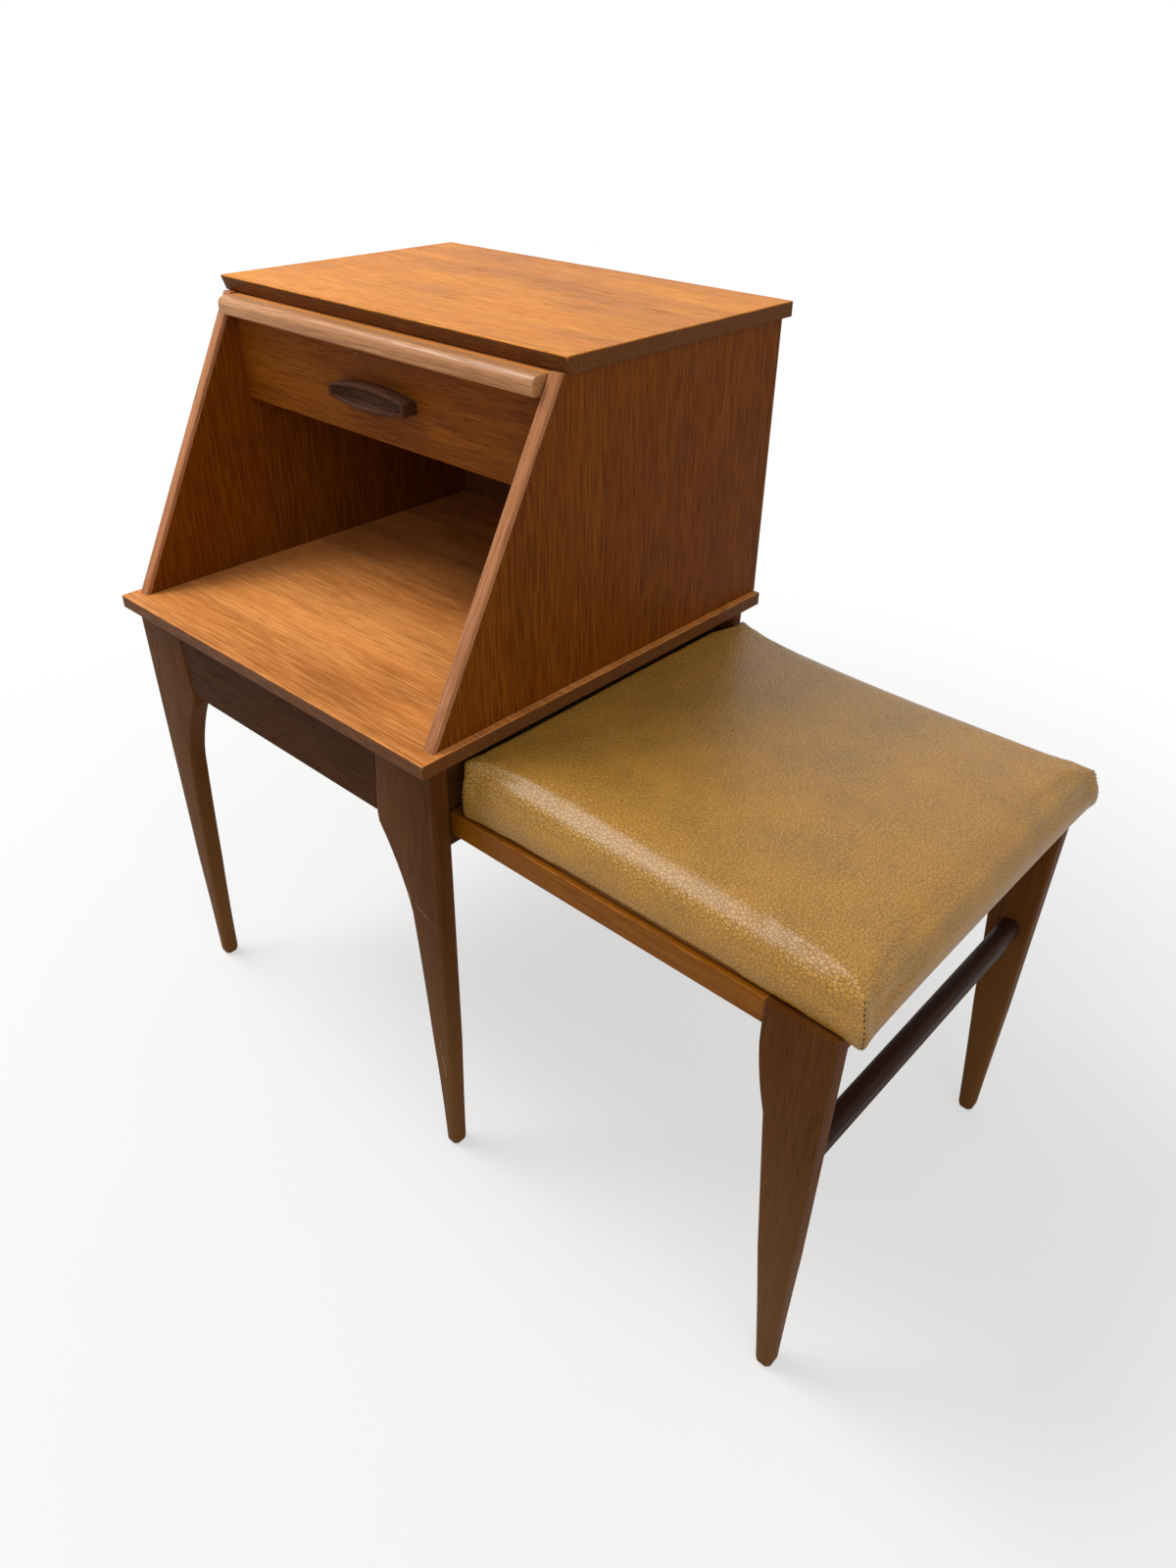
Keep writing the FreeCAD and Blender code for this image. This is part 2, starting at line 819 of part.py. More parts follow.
def make_drawer_handle():
    """The carved pull: a boat shape that widens towards the hand, with a scooped face."""
    body = new_body("drawer_handle")
    back = sketch_on(body, "XZ_Plane")
    lens(back, "handle_back_shrink")
    front = sketch_on(body, "XZ_Plane", "handle_deep")
    lens(front, "0")
    loft = body.newObject("PartDesign::AdditiveLoft", "Pull")
    loft.Profile = back
    loft.Sections = [front]
    loft.Ruled = True
    doc.recompute()
    solid = loft.Shape.Volume
    mouth = sketch_on(body, "XZ_Plane", "handle_deep")
    lens(mouth, "handle_rim")
    scoop = body.newObject("PartDesign::Pocket", "Scoop")
    scoop.Profile = mouth
    scoop.setExpression("Length", bind("handle_scoop"))
    doc.recompute()
    if scoop.Shape.Volume >= solid:
        raise ValueError("the scoop points away from the handle")
    place(
        body,
        "(shelf_width - handle_wide) / 2",
        "top_front",
        "handle_high - handle_tall / 2",
    )
    return cut_from("drawer_handle", body, handle_holes)


# The holes that each piece needs for its dowels, by the piece's name
dowel_holes = {}


def add_dowel(store, names, *where):
    """Make one dowel and give its hole to both of the pieces that it joins."""
    peg, hole = peg_and_hole(*where)
    store.append(peg)
    for name in names:
        dowel_holes.setdefault(name, []).append(hole)


# Dowels that join the aprons to the legs. Each share is of the apron's height
APRON_DOWEL_SHARES = ("0.3", "0.7")
SIDE_APRON_DOWEL_SHARES = ("0.42", "0.8")
apron_dowels = []
for row, deep in (("front", "leg_inset"), ("back", "leg_back_front")):
    for hand in ("left", "right"):
        joint_left = "leg_in_top - dowel_long / 2"
        if hand == "right":
            joint_left = "shelf_width - leg_in_top - dowel_long / 2"
        for share in APRON_DOWEL_SHARES:
            add_dowel(
                apron_dowels,
                (f"leg_{row}_{hand}", f"apron_{row}"),
                joint_left,
                f"{deep} + leg_thick / 2",
                f"apron_under + {share} * apron_tall",
                LEFT_TO_RIGHT,
                "dowel_radius",
                "dowel_long",
            )
SIDE_APRON_MIDDLE = {
    "left": "side_apron_inset + apron_thick / 2",
    "right": "side_apron_right - apron_thick / 2",
}
SIDE_APRON_ENDS = {
    "front": "leg_front_back - dowel_in_leg",
    "back": "leg_back_front + dowel_in_leg - dowel_long",
}
for hand, across in SIDE_APRON_MIDDLE.items():
    for row, deep in SIDE_APRON_ENDS.items():
        for share in SIDE_APRON_DOWEL_SHARES:
            add_dowel(
                apron_dowels,
                (f"leg_{row}_{hand}", f"side_apron_{hand}"),
                across,
                deep,
                f"side_apron_under + {share} * side_apron_tall",
                FRONT_TO_BACK,
                "dowel_radius",
                "dowel_long",
            )

# Dowels that join the seat's rails to the cabinet and to the seat's legs
seat_dowels = []
SEAT_RAIL_MIDDLES = {
    "front": "rail_front + rail_thick / 2",
    "back": "rail_back + rail_thick / 2",
}
# The front rail passes behind a leg to the side apron, and the back rail ends on a leg
SEAT_RAIL_STARTS = {
    "front": ("side_apron_right", "side_apron_right"),
    "back": ("leg_back_right", "shelf_width - leg_out_at_seat"),
}
for row, deep in SEAT_RAIL_MIDDLES.items():
    holder, start = SEAT_RAIL_STARTS[row]
    add_dowel(
        seat_dowels,
        (holder, f"seat_rail_{row}"),
        f"{start} - dowel_long / 3",
        deep,
        "rail_under + rail_tall / 2",
        LEFT_TO_RIGHT,
        "dowel_radius",
        "dowel_long",
    )
    add_dowel(
        seat_dowels,
        (f"seat_rail_{row}", f"seat_leg_{row}"),
        "seat_leg_left - dowel_long / 2",
        deep,
        "rail_under + rail_tall / 2",
        LEFT_TO_RIGHT,
        "dowel_radius",
        "dowel_long",
    )
END_RAIL_ENDS = {
    "front": "seat_front_in - dowel_in_leg",
    "back": "seat_back_in + dowel_in_leg - dowel_long",
}
for row, deep in END_RAIL_ENDS.items():
    add_dowel(
        seat_dowels,
        (f"seat_leg_{row}", "seat_end_rail"),
        "end_rail_left + rail_thick / 2",
        deep,
        "rail_under + rail_tall / 2",
        FRONT_TO_BACK,
        "dowel_radius",
        "dowel_long",
    )


def make_leg(row, hand):
    """A shaped leg: a broad head that meets the apron, a hollow shoulder and a slim rounded foot."""
    name = f"leg_{row}_{hand}"
    body = new_body(name)
    sketch = sketch_on(body, "XZ_Plane")
    outline(
        sketch,
        [
            ("leg_out_foot", "0"),
            ("leg_in_foot", "0", "-leg_hollow"),
            ("leg_in_waist", "waist_high", "-shoulder_hollow"),
            ("leg_in_shoulder", "shoulder_high"),
            ("leg_in_top", "shelf_under"),
            ("leg_out_top", "shelf_under"),
        ],
    )
    pad = padded_sketch(body, sketch, "leg_thick", backwards=True)
    waist = number("waist_high")
    at_waist = edges_where(pad, lambda box: near(box.ZMin, waist) and near(box.ZMax, waist))
    eased = rounded(body, pad, at_waist, "waist_round")
    foot = edges_where(eased, lambda box: box.ZMax < THIN)
    domed = rounded(body, eased, foot, "foot_round")
    shoulder = number("shoulder_high")
    shortest = number("foot_round")
    arrises = edges_where(
        domed,
        lambda box: box.YLength < THIN and box.ZLength > shortest and box.ZMin < shoulder - THIN,
    )
    rounded(body, domed, arrises, "leg_round")
    front = {"front": "leg_inset", "back": "leg_back_front"}[row]
    if hand == "left":
        place(body, "0", front, "0")
    else:
        body.setExpression(".Placement.Rotation.Yaw", "180")
        place(body, "shelf_width", f"{front} + leg_thick", "0")
    return cut_from(name, body, dowel_holes[name])


def make_apron(row):
    """The rail between two legs, a little behind their faces, its ends cut to the heads' slope."""
    body = new_body(f"apron_{row}")
    sketch = sketch_on(body, "XZ_Plane")
    outline(
        sketch,
        [
            ("apron_in_low", "0"),
            ("shelf_width - apron_in_low", "0"),
            ("shelf_width - leg_in_top", "apron_tall"),
            ("leg_in_top", "apron_tall"),
        ],
    )
    padded_sketch(body, sketch, "apron_thick", backwards=True)
    front = {
        "front": "leg_inset + apron_setback",
        "back": "leg_back_front + leg_thick - apron_setback - apron_thick",
    }[row]
    place(body, "0", front, "apron_under")
    return cut_from(f"apron_{row}", body, dowel_holes[f"apron_{row}"])


def make_side_apron(hand):
    """The rail under the shelf's side, from the front leg to the back leg."""
    left = {"left": "side_apron_inset", "right": "side_apron_right - apron_thick"}[hand]
    rail = block(
        "side_apron",
        left,
        "leg_front_back",
        "side_apron_under",
        "apron_thick",
        "leg_back_front - leg_front_back",
        "side_apron_tall",
    )
    return cut_from(f"side_apron_{hand}", rail, dowel_holes[f"side_apron_{hand}"])


def make_corner_blocks():
    """Triangular blocks glued into the corners of the frame, screwed up into the shelf."""
    blocks = []
    for corner, (across, deep, turn) in BLOCK_CORNERS.items():
        body = new_body(f"block_{corner}")
        sketch = sketch_on(body, "XY_Plane")
        outline(sketch, [("0", "0"), ("block_wide", "0"), ("0", "block_wide")])
        padded_sketch(body, sketch, "block_tall")
        body.setExpression(".Placement.Rotation.Yaw", str(turn))
        place(body, across, deep, "shelf_under - block_tall")
        blocks.append(body)
    stack = doc.addObject("Part::Compound", "Blocks")
    stack.Links = blocks
    return cut_from("corner_blocks", stack, block_screw_holes)


stretcher_holes = {}


def make_stretcher():
    """The low rail between the seat's legs, with rounded sides and a round tenon at each end."""
    body = new_body("stretcher")
    sketch = sketch_on(body, "XZ_Plane")
    rectangle(sketch, "stretcher_wide", "stretcher_tall")
    pad = padded_sketch(body, sketch, "seat_back_in - seat_front_in", backwards=True)
    span = number("seat_back_in - seat_front_in")
    names = edges_where(pad, lambda box: near(box.YLength, span))
    rounded(body, pad, names, "stretcher_round")
    place(body, "stretcher_left", "seat_front_in", "stretcher_high - stretcher_tall / 2")
    tenon = rod(
        "tenon",
        "stretcher_left + stretcher_wide / 2",
        "seat_front_in - tenon_long",
        "stretcher_high",
        FRONT_TO_BACK,
        "tenon_radius",
        "seat_back_in - seat_front_in + 2 * tenon_long",
    )
    whole = doc.addObject("Part::Fuse", "StretcherWhole")
    whole.Base = body
    whole.Tool = tenon
    starts = {"front": "seat_front_in - tenon_long - end_gap", "back": "seat_back_in"}
    for row, deep in starts.items():
        stretcher_holes[row] = rod(
            "tenon_hole",
            "stretcher_left + stretcher_wide / 2",
            deep,
            "stretcher_high",
            FRONT_TO_BACK,
            "tenon_radius + glue_gap",
            "tenon_long + end_gap",
        )
    return keep(whole, "stretcher")


def make_seat_leg(row):
    """A seat leg: a broad head under the cushion that narrows to a slim rounded foot."""
    name = f"seat_leg_{row}"
    body = new_body(name)
    sketch = sketch_on(body, "XZ_Plane")
    outline(
        sketch,
        [
            ("seat_leg_head - seat_leg_lean - seat_foot_wide", "0"),
            ("seat_leg_head - seat_leg_lean", "0"),
            ("seat_leg_head", "seat_top"),
            ("0", "seat_top"),
            ("0", "seat_shoulder_high", "seat_swell"),
            ("seat_leg_head - seat_waist_wide", "seat_waist_high"),
        ],
    )
    pad = padded_sketch(body, sketch, "seat_leg_thick", backwards=True)
    foot = edges_where(pad, lambda box: box.ZMax < THIN)
    domed = rounded(body, pad, foot, "foot_round")
    shortest = number("foot_round")
    arrises = edges_where(domed, lambda box: box.YLength < THIN and box.ZLength > shortest)
    rounded(body, domed, arrises, "leg_round")
    front = {"front": "seat_front", "back": "seat_back_in"}[row]
    place(body, "seat_leg_left", front, "0")
    return cut_from(name, body, dowel_holes[name] + [stretcher_holes[row]])


# Screws that go up through the seat's rails into its base. Each share is of the rail's open length
SEAT_SCREW_SHARES = ("0.15", "0.85")
seat_screws = []
seat_screw_holes = []
seat_screw_sinks = {"front": [], "back": []}
for row, deep in SEAT_RAIL_MIDDLES.items():
    for share in SEAT_SCREW_SHARES:
        screw, hole, sink = screw_and_hole(
            f"shelf_width + {share} * (seat_leg_left - shelf_width)",
            deep,
            "rail_under",
            UPWARDS,
            "rail_tall - screw_head_tall + seat_screw_bite",
        )
        seat_screws.append(screw)
        seat_screw_holes.append(hole)
        seat_screw_sinks[row].append(sink)


def make_seat_rail(row):
    """A long rail of the seat, from the cabinet to the seat's leg."""
    front = {"front": "rail_front", "back": "rail_back"}[row]
    holder, start = SEAT_RAIL_STARTS[row]
    body = board(
        "seat_rail",
        start,
        front,
        "rail_under",
        f"seat_leg_left - ({start})",
        "rail_thick",
        "rail_tall",
    )
    tools = dowel_holes[f"seat_rail_{row}"] + seat_screw_holes + seat_screw_sinks[row]
    return cut_from(f"seat_rail_{row}", body, tools)


def make_seat_end_rail():
    """The short rail between the heads of the seat's legs."""
    rail = block(
        "seat_end_rail",
        "end_rail_left",
        "seat_front_in",
        "rail_under",
        "rail_thick",
        "seat_back_in - seat_front_in",
        "rail_tall",
    )
    return cut_from("seat_end_rail", rail, dowel_holes["seat_end_rail"])


def make_seat_base():
    """The thin board inside the seat that its padding is fixed to."""
    base = block(
        "seat_base", "base_left", "base_front", "seat_top", "base_wide", "base_deep", "base_thick"
    )
    return cut_from("seat_base", base, seat_screw_holes)


def cushion_section(across, edge_high, swell):
    """One upright section of the seat, from front to back. The swell is 0 at the ends, 1 midway."""
    def at(deep, high):
        return FreeCAD.Vector(across, deep, high)

    def rolled(size_name):
        """A corner's radius, tight at the seat's ends and broader midway."""
        tight = number("cushion_corner_roll")
        return tight + (number(size_name) - tight) * swell

    def corner(edge_deep, roll, inward):
        """A quarter circle over a corner, from the upright side to the top."""
        diagonal = roll * (1 - math.sqrt(0.5))
        return [
            at(edge_deep, edge_high - roll),
            at(edge_deep + inward * diagonal, edge_high - diagonal),
            at(edge_deep + inward * roll, edge_high),
        ]

    front = number("cushion_front")
    back = number("cushion_back")
    draw = number("cushion_draw")
    front_corner = corner(front + draw, rolled("cushion_front_roll"), 1)
    back_corner = corner(back - draw, rolled("cushion_back_roll"), -1)
    rise = max(number("cushion_crown") * swell, FLATTEST_CROWN)
    edges = [
        Part.LineSegment(at(front, 0), at(back, 0)),
        Part.LineSegment(at(back, 0), back_corner[0]),
        Part.Arc(*back_corner),
        Part.Arc(back_corner[2], at((front + back) / 2, edge_high + rise), front_corner[2]),
        Part.Arc(*reversed(front_corner)),
        Part.LineSegment(front_corner[0], at(front, 0)),
    ]
    return Part.Wire([edge.toShape() for edge in edges])


# The least crown that still makes an arc of the seat's top
FLATTEST_CROWN = 0.2
# Shares of the end roll's length, from the end inwards
ROLL_SHARES = (0.0, 0.1, 0.3, 0.6)
# Shares of the seat's length, for the sections between the end rolls
LENGTH_SHARES = (0.04, 0.12, 0.25, 0.5, 0.75, 0.88, 0.96)


def make_seat_cushion():
    """The padded seat: crowned on top, its edges rolled, its sides drawn in towards the top."""
    long = number("total_length - cushion_left")
    edge_tall = number("cushion_edge_tall")
    draw = number("cushion_draw")
    roll = number("cushion_end_roll")
    ends = [(0.0, number("cushion_foot_tall"))]
    for share in ROLL_SHARES:
        reached = math.sqrt(1 - (1 - share) ** 2)
        ends.append((draw + share * roll, edge_tall - roll + reached * roll))
    sections = [cushion_section(distance, high, 0.0) for distance, high in ends]
    for share in LENGTH_SHARES:
        swell = 1 - (2 * share - 1) ** 4
        edge_high = edge_tall + number("cushion_edge_swell") * swell
        sections.append(cushion_section(share * long, edge_high, swell))
    sections += [cushion_section(long - distance, high, 0.0) for distance, high in reversed(ends)]
    recess = Part.makeBox(
        number("base_wide + 2 * base_gap"),
        number("base_deep + 2 * base_gap"),
        number("base_thick + base_gap"),
        FreeCAD.Vector(number("base_margin - base_gap"), number("base_front - base_gap"), 0),
    )
    cushion = doc.addObject("Part::Feature", "SeatCushion")
    cushion.Shape = Part.makeLoft(sections, True, True).cut(recess)
    place(cushion, "cushion_left", "0", "seat_top")
    return keep(cushion, "seat_cushion")


make_top_board()
for hand in ("left", "right"):
    make_side_panel(hand)
    make_side_lipping(hand)
make_back_panel()
make_shelf_board()
group("carcase_pegs", carcase_pegs)
make_slide()
make_slide_guides()
make_drawer_front()
for hand in ("left", "right"):
    make_drawer_side(hand)
    make_drawer_runner(hand)
make_drawer_inside()
make_drawer_handle()
group("handle_screws", handle_screws)
for row in ("front", "back"):
    for hand in ("left", "right"):
        make_leg(row, hand)
    make_apron(row)
for hand in ("left", "right"):
    make_side_apron(hand)
make_corner_blocks()
group("block_screws", block_screws)
group("apron_dowels", apron_dowels)
make_stretcher()
for row in ("front", "back"):
    make_seat_leg(row)
    make_seat_rail(row)
make_seat_end_rail()
group("seat_dowels", seat_dowels)
make_seat_base()
make_seat_cushion()
group("seat_screws", seat_screws)
doc.recompute()

for item in doc.Objects:
    if "Invalid" in item.State or "Error" in item.State:
        raise ValueError(f"{item.Name} {item.Label} failed: {item.State}")
for item in parts:
    if item.Shape.isNull() or not item.Shape.isValid() or item.Shape.Volume <= 0:
        raise ValueError(f"{item.Label} has no sound solid")

os.makedirs("parts", exist_ok=True)
for item in parts:
    item.Shape.exportStep(f"parts/{item.Label}.step")
    print(item.Label, len(item.Shape.Solids), round(item.Shape.Volume / 1000, 2), "cm3")
print(len(parts), "nodes")
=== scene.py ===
"""A wooden telephone bench: finer pieces and finishes round its fixed CAD frame, with a studio to show it in.

Laid out as a Blender add-on and run as a script. Everything is in metres, in the frame's own coordinates:
X runs along the bench, Y from front to back and Z upwards.
"""

import math
from collections import namedtuple

import bmesh
import bpy
from bpy.props import FloatProperty, FloatVectorProperty, IntProperty, PointerProperty
from bpy.types import Operator, Panel, PropertyGroup
from mathutils import Matrix, Vector


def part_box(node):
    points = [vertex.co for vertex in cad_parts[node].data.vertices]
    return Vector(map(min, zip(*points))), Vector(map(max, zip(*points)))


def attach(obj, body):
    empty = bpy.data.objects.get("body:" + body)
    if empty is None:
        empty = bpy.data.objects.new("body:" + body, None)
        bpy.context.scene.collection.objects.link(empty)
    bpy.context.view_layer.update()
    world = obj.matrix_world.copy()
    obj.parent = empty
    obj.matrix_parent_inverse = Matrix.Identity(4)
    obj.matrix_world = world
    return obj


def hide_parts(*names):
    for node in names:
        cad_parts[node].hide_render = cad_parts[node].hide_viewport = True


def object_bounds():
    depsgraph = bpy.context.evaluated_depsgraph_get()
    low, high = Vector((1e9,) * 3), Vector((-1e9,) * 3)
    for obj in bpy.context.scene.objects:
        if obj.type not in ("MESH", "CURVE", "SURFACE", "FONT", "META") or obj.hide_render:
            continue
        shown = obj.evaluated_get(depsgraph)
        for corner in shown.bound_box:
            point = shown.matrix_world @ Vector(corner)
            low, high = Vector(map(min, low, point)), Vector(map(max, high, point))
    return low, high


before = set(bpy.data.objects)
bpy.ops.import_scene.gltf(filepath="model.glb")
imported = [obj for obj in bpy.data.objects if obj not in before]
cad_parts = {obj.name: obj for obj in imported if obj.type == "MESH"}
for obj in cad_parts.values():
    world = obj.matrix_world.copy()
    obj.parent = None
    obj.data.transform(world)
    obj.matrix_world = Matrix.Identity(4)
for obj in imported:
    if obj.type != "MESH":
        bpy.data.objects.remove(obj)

bl_info = {
    "name": "Telephone Bench",
    "version": (1, 0, 0),
    "blender": (4, 5, 0),
    "location": "View3D > Sidebar > Telephone Bench",
    "description": "Models and finishes a wooden telephone bench round its CAD frame",
    "category": "Object",
}

CAD_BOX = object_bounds()
MM = 0.001
TOUCH = 0.00002  # two places nearer than this are the same place
QUARTER = math.pi / 2
WHITE = (1.0, 1.0, 1.0)
ORIGIN = (0.0, 0.0, 0.0)


# ---- sizes and colours


def linear(shade):
    """A printed shade from 0 to 255 as the linear value that shaders work in."""
    share = shade / 255
    return share / 12.92 if share <= 0.04045 else ((share + 0.055) / 1.055) ** 2.4


def length(name, description, millimetres, most=100.0):
    return FloatProperty(
        name=name, description=description, default=millimetres * MM, min=0.0, max=most * MM, unit="LENGTH"
    )


def number(name, description, default, **limits):
    return FloatProperty(name=name, description=description, default=default, **limits)


def tone(name, description, red, green, blue):
    return FloatVectorProperty(
        name=name,
        description=description,
        subtype="COLOR",
        size=3,
        min=0.0,
        max=1.0,
        default=(linear(red), linear(green), linear(blue)),
    )


class BenchSizes(PropertyGroup):
    """Sizes of the pieces that are modelled here; every other size comes from the frame."""

    leg_arris: length("Leg Arris", "Radius of the rounded long edges of the legs", 3.2, 6.0)
    foot_dome: length("Foot Dome", "Height of the domed foot of each leg", 8.0, 20.0)
    nosing_round: length("Nosing Round", "Radius of the nosing's upper front edge", 6.5, 7.0)
    nosing_lower: length("Nosing Lower Round", "Radius of the nosing's lower front edge", 3.0, 7.0)
    pull_ease: length("Pull Ease", "Radius of the pull's front rim", 0.9, 2.0)
    pull_scoop: length("Pull Scoop", "Depth of the scoop in the pull", 6.0, 8.0)
    screw_slot: length("Screw Slot", "Width of the slot in a screw's head", 1.1, 2.0)
    cushion_cell: length("Cushion Cell", "Cell size the cushion's cover is remeshed to", 4.0, 10.0)
    cushion_slack: length("Cushion Slack", "How far the cover starts inside its finished form", 1.5, 8.0)
    cushion_reach: length("Cushion Reach", "The furthest the filling may push the cover", 3.4, 16.0)
    seam_depth: length("Seam Depth", "Depth of the stitched corner seams", 1.2, 3.0)
    stitch_pitch: length("Stitch Pitch", "Distance from stitch to stitch", 3.4, 8.0)
    cushion_pressure: number("Cushion Pressure", "Push of the filling against the cover", 2.4, min=0.0, max=10.0)
    leg_stations: IntProperty(
        name="Leg Stations", description="Levels at which a leg's outline is set out", default=38, min=8, max=80
    )


class BenchColours(PropertyGroup):
    """The middle tone of each finish."""

    # Painted light in the wood tones: the top and shelf veneers are lighter, as faces lit from above, and the sides,
    # drawer front and board edges darker, as faces in shade; the rest of the difference is the woods' own tone.
    top_veneer_lit: tone("Top Veneer", "Orange veneer of the top board", 202, 127, 48)
    shelf_veneer_lit: tone("Shelf Veneer", "Orange veneer of the shelf", 208, 136, 72)
    board_edge_shaded: tone("Board Edge", "Edge strips of the top and shelf", 92, 54, 24)
    side_veneer_shaded: tone("Side Veneer", "Red-brown veneer of the cabinet's sides", 114, 60, 8)
    drawer_veneer_shaded: tone("Drawer Veneer", "Veneer of the drawer front", 120, 64, 10)
    lipping: tone("Lipping", "Solid lippings of the sides", 172, 117, 80)
    nosing: tone("Nosing", "Solid nosing of the writing slide", 182, 128, 82)
    leg: tone("Leg", "Solid wood of the legs", 86, 48, 15)
    apron: tone("Apron", "Solid wood of the aprons", 66, 36, 8)
    rail: tone("Seat Rail", "Solid wood of the seat rails", 134, 80, 14)
    stretcher: tone("Stretcher", "Dark wood of the stretcher", 54, 33, 26)
    pull: tone("Pull", "Dark wood of the drawer's pull", 72, 42, 26)
    plywood: tone("Plywood", "Face of the plywood panels", 150, 104, 62)
    hardwood: tone("Hardwood", "Pale wood inside the cabinet", 196, 160, 116)
    vinyl: tone("Vinyl", "Mustard vinyl of the seat", 180, 128, 42)
    thread: tone("Thread", "Thread of the corner seams", 58, 40, 20)
    steel: tone("Steel", "Screws", 150, 148, 144)


class BenchStage(PropertyGroup):
    """Where the camera stands, and the studio round the bench."""

    camera_place: FloatVectorProperty(
        name="Camera Place",
        description="Where the camera stands",
        subtype="TRANSLATION",
        unit="LENGTH",
        size=3,
        default=(0.58049, -0.64102, 0.89764),
    )
    camera_turn: number("Camera Turn", "Turn of the camera about the vertical", math.radians(41.809), subtype="ANGLE")
    camera_tilt: number("Camera Tilt", "How far the camera looks down", math.radians(34.055), subtype="ANGLE")
    camera_roll: number("Camera Roll", "Roll of the camera about its own view", math.radians(0.911), subtype="ANGLE")
    camera_lens: number("Camera Lens", "Focal length, in millimetres on a 36 mm sensor", 25.48, min=10.0, max=100.0)
    floor_tone: tone("Floor", "Pale floor of the studio", 232, 231, 229)
    sky_light: number("Sky Light", "Even light from all round", 0.46, min=0.0, max=2.0)
    key_light: number("Key Light", "Soft light from above on the left", 54.0, min=0.0, subtype="POWER")
    fill_light: number("Fill Light", "Soft light from the right", 16.0, min=0.0, subtype="POWER")


# ---- bench work


def put_down():
    """Closes the opened piece."""
    bpy.ops.object.mode_set(mode="OBJECT")


def take_all():
    """Selects the whole of the opened piece."""
    bpy.ops.mesh.select_all(action="SELECT")


def face_outwards():
    """Turns every face of the opened piece outwards."""
    take_all()
    bpy.ops.mesh.normals_make_consistent(inside=False)


def clear_bench():
    """Puts down whatever is selected, so that the next operator works on one piece alone."""
    if bpy.context.object and bpy.context.object.mode != "OBJECT":
        put_down()
    bpy.ops.object.select_all(action="DESELECT")


def take_up(piece):
    """Selects one piece alone."""
    clear_bench()
    piece.select_set(True)
    bpy.context.view_layer.objects.active = piece


def into_edit(name):
    """Names the new primitive, settles its place into its mesh and opens it for shaping."""
    piece = bpy.context.object
    piece.name = piece.data.name = name
    bpy.ops.object.transform_apply(location=True, rotation=True, scale=True)
    bpy.ops.object.mode_set(mode="EDIT")
    return piece


def block(name, low, high):
    """Stock cut to a box, opened for shaping."""
    clear_bench()
    bpy.ops.mesh.primitive_cube_add(size=1.0, location=(low + high) / 2, scale=high - low)
    return into_edit(name)


def pick(piece, kind, wanted):
    """Selects the vertices, edges or faces of the opened piece that are wanted."""
    bpy.ops.mesh.select_mode(type=kind)
    bpy.ops.mesh.select_all(action="DESELECT")
    form = bmesh.from_edit_mesh(piece.data)
    for part in {"VERT": form.verts, "EDGE": form.edges, "FACE": form.faces}[kind]:
        if wanted(part):
            part.select_set(True)
    form.select_flush_mode()
    bmesh.update_edit_mesh(piece.data)


def level(part, axis, place):
    """Whether all of an edge's or face's vertices, or a vertex itself, lie at a place on an axis."""
    corners = getattr(part, "verts", (part,))
    return all(abs(corner.co[axis] - place) < TOUCH for corner in corners)


def saw(place, direction):
    """Cuts the whole opened piece through at a place, and leaves both halves joined."""
    take_all()
    bpy.ops.mesh.bisect(plane_co=place, plane_no=direction)


def ease(radius, steps):
    """Rounds the selected edges."""
    bpy.ops.mesh.bevel(offset=radius, segments=steps, profile=0.5)


def extrude(move):
    """Draws the selected face out, and leaves the new face selected."""
    bpy.ops.mesh.extrude_region_move(TRANSFORM_OT_translate={"value": move})


def resize(scale, centre):
    bpy.ops.transform.resize(value=scale, center_override=centre)


def copy_of(piece, name, move=ORIGIN, mirror_at=None):
    """A copy with its own mesh, moved along, or turned over left to right about a place on X."""
    take_up(piece)
    bpy.ops.object.duplicate(linked=False)
    copy = bpy.context.object
    copy.name = copy.data.name = name
    bpy.ops.object.mode_set(mode="EDIT")
    take_all()
    if mirror_at is not None:
        bpy.ops.transform.mirror(constraint_axis=(True, False, False), center_override=(mirror_at, 0.0, 0.0))
        face_outwards()
    bpy.ops.transform.translate(value=move)
    put_down()
    return copy


def join(first, *others):
    """Makes one piece of several, under the first one's name."""
    take_up(first)
    for other in others:
        other.select_set(True)
    bpy.ops.object.join()


def modify(piece, kind, **settings):
    """Adds a modifier to the piece, sets it and applies it at once."""
    take_up(piece)
    modifier = piece.modifiers.new(kind.lower(), kind)
    for name, value in settings.items():
        setattr(modifier, name, value)
    bpy.ops.object.modifier_apply(modifier=modifier.name)


def smooth(piece, degrees=38):
    """Leaves the piece smooth, with an edge only where its faces meet at more than this angle."""
    take_up(piece)
    bpy.ops.object.shade_smooth_by_angle(angle=math.radians(degrees))


def hand_over(piece, finish, body, slot, *nodes):
    """Gives a modelled piece its finish and the body it rides on, and hides the CAD nodes it stands for; slot is not
    used.
    """
    clear_bench()
    piece.data.materials.clear()
    piece.data.materials.append(finish)
    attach(piece, body)
    if nodes:
        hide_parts(*nodes)


def finish_nodes(finish, *names):
    """Gives CAD nodes whose shape stays their finish."""
    for name in names:
        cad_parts[name].material_slots[0].material = finish


# ---- shader work


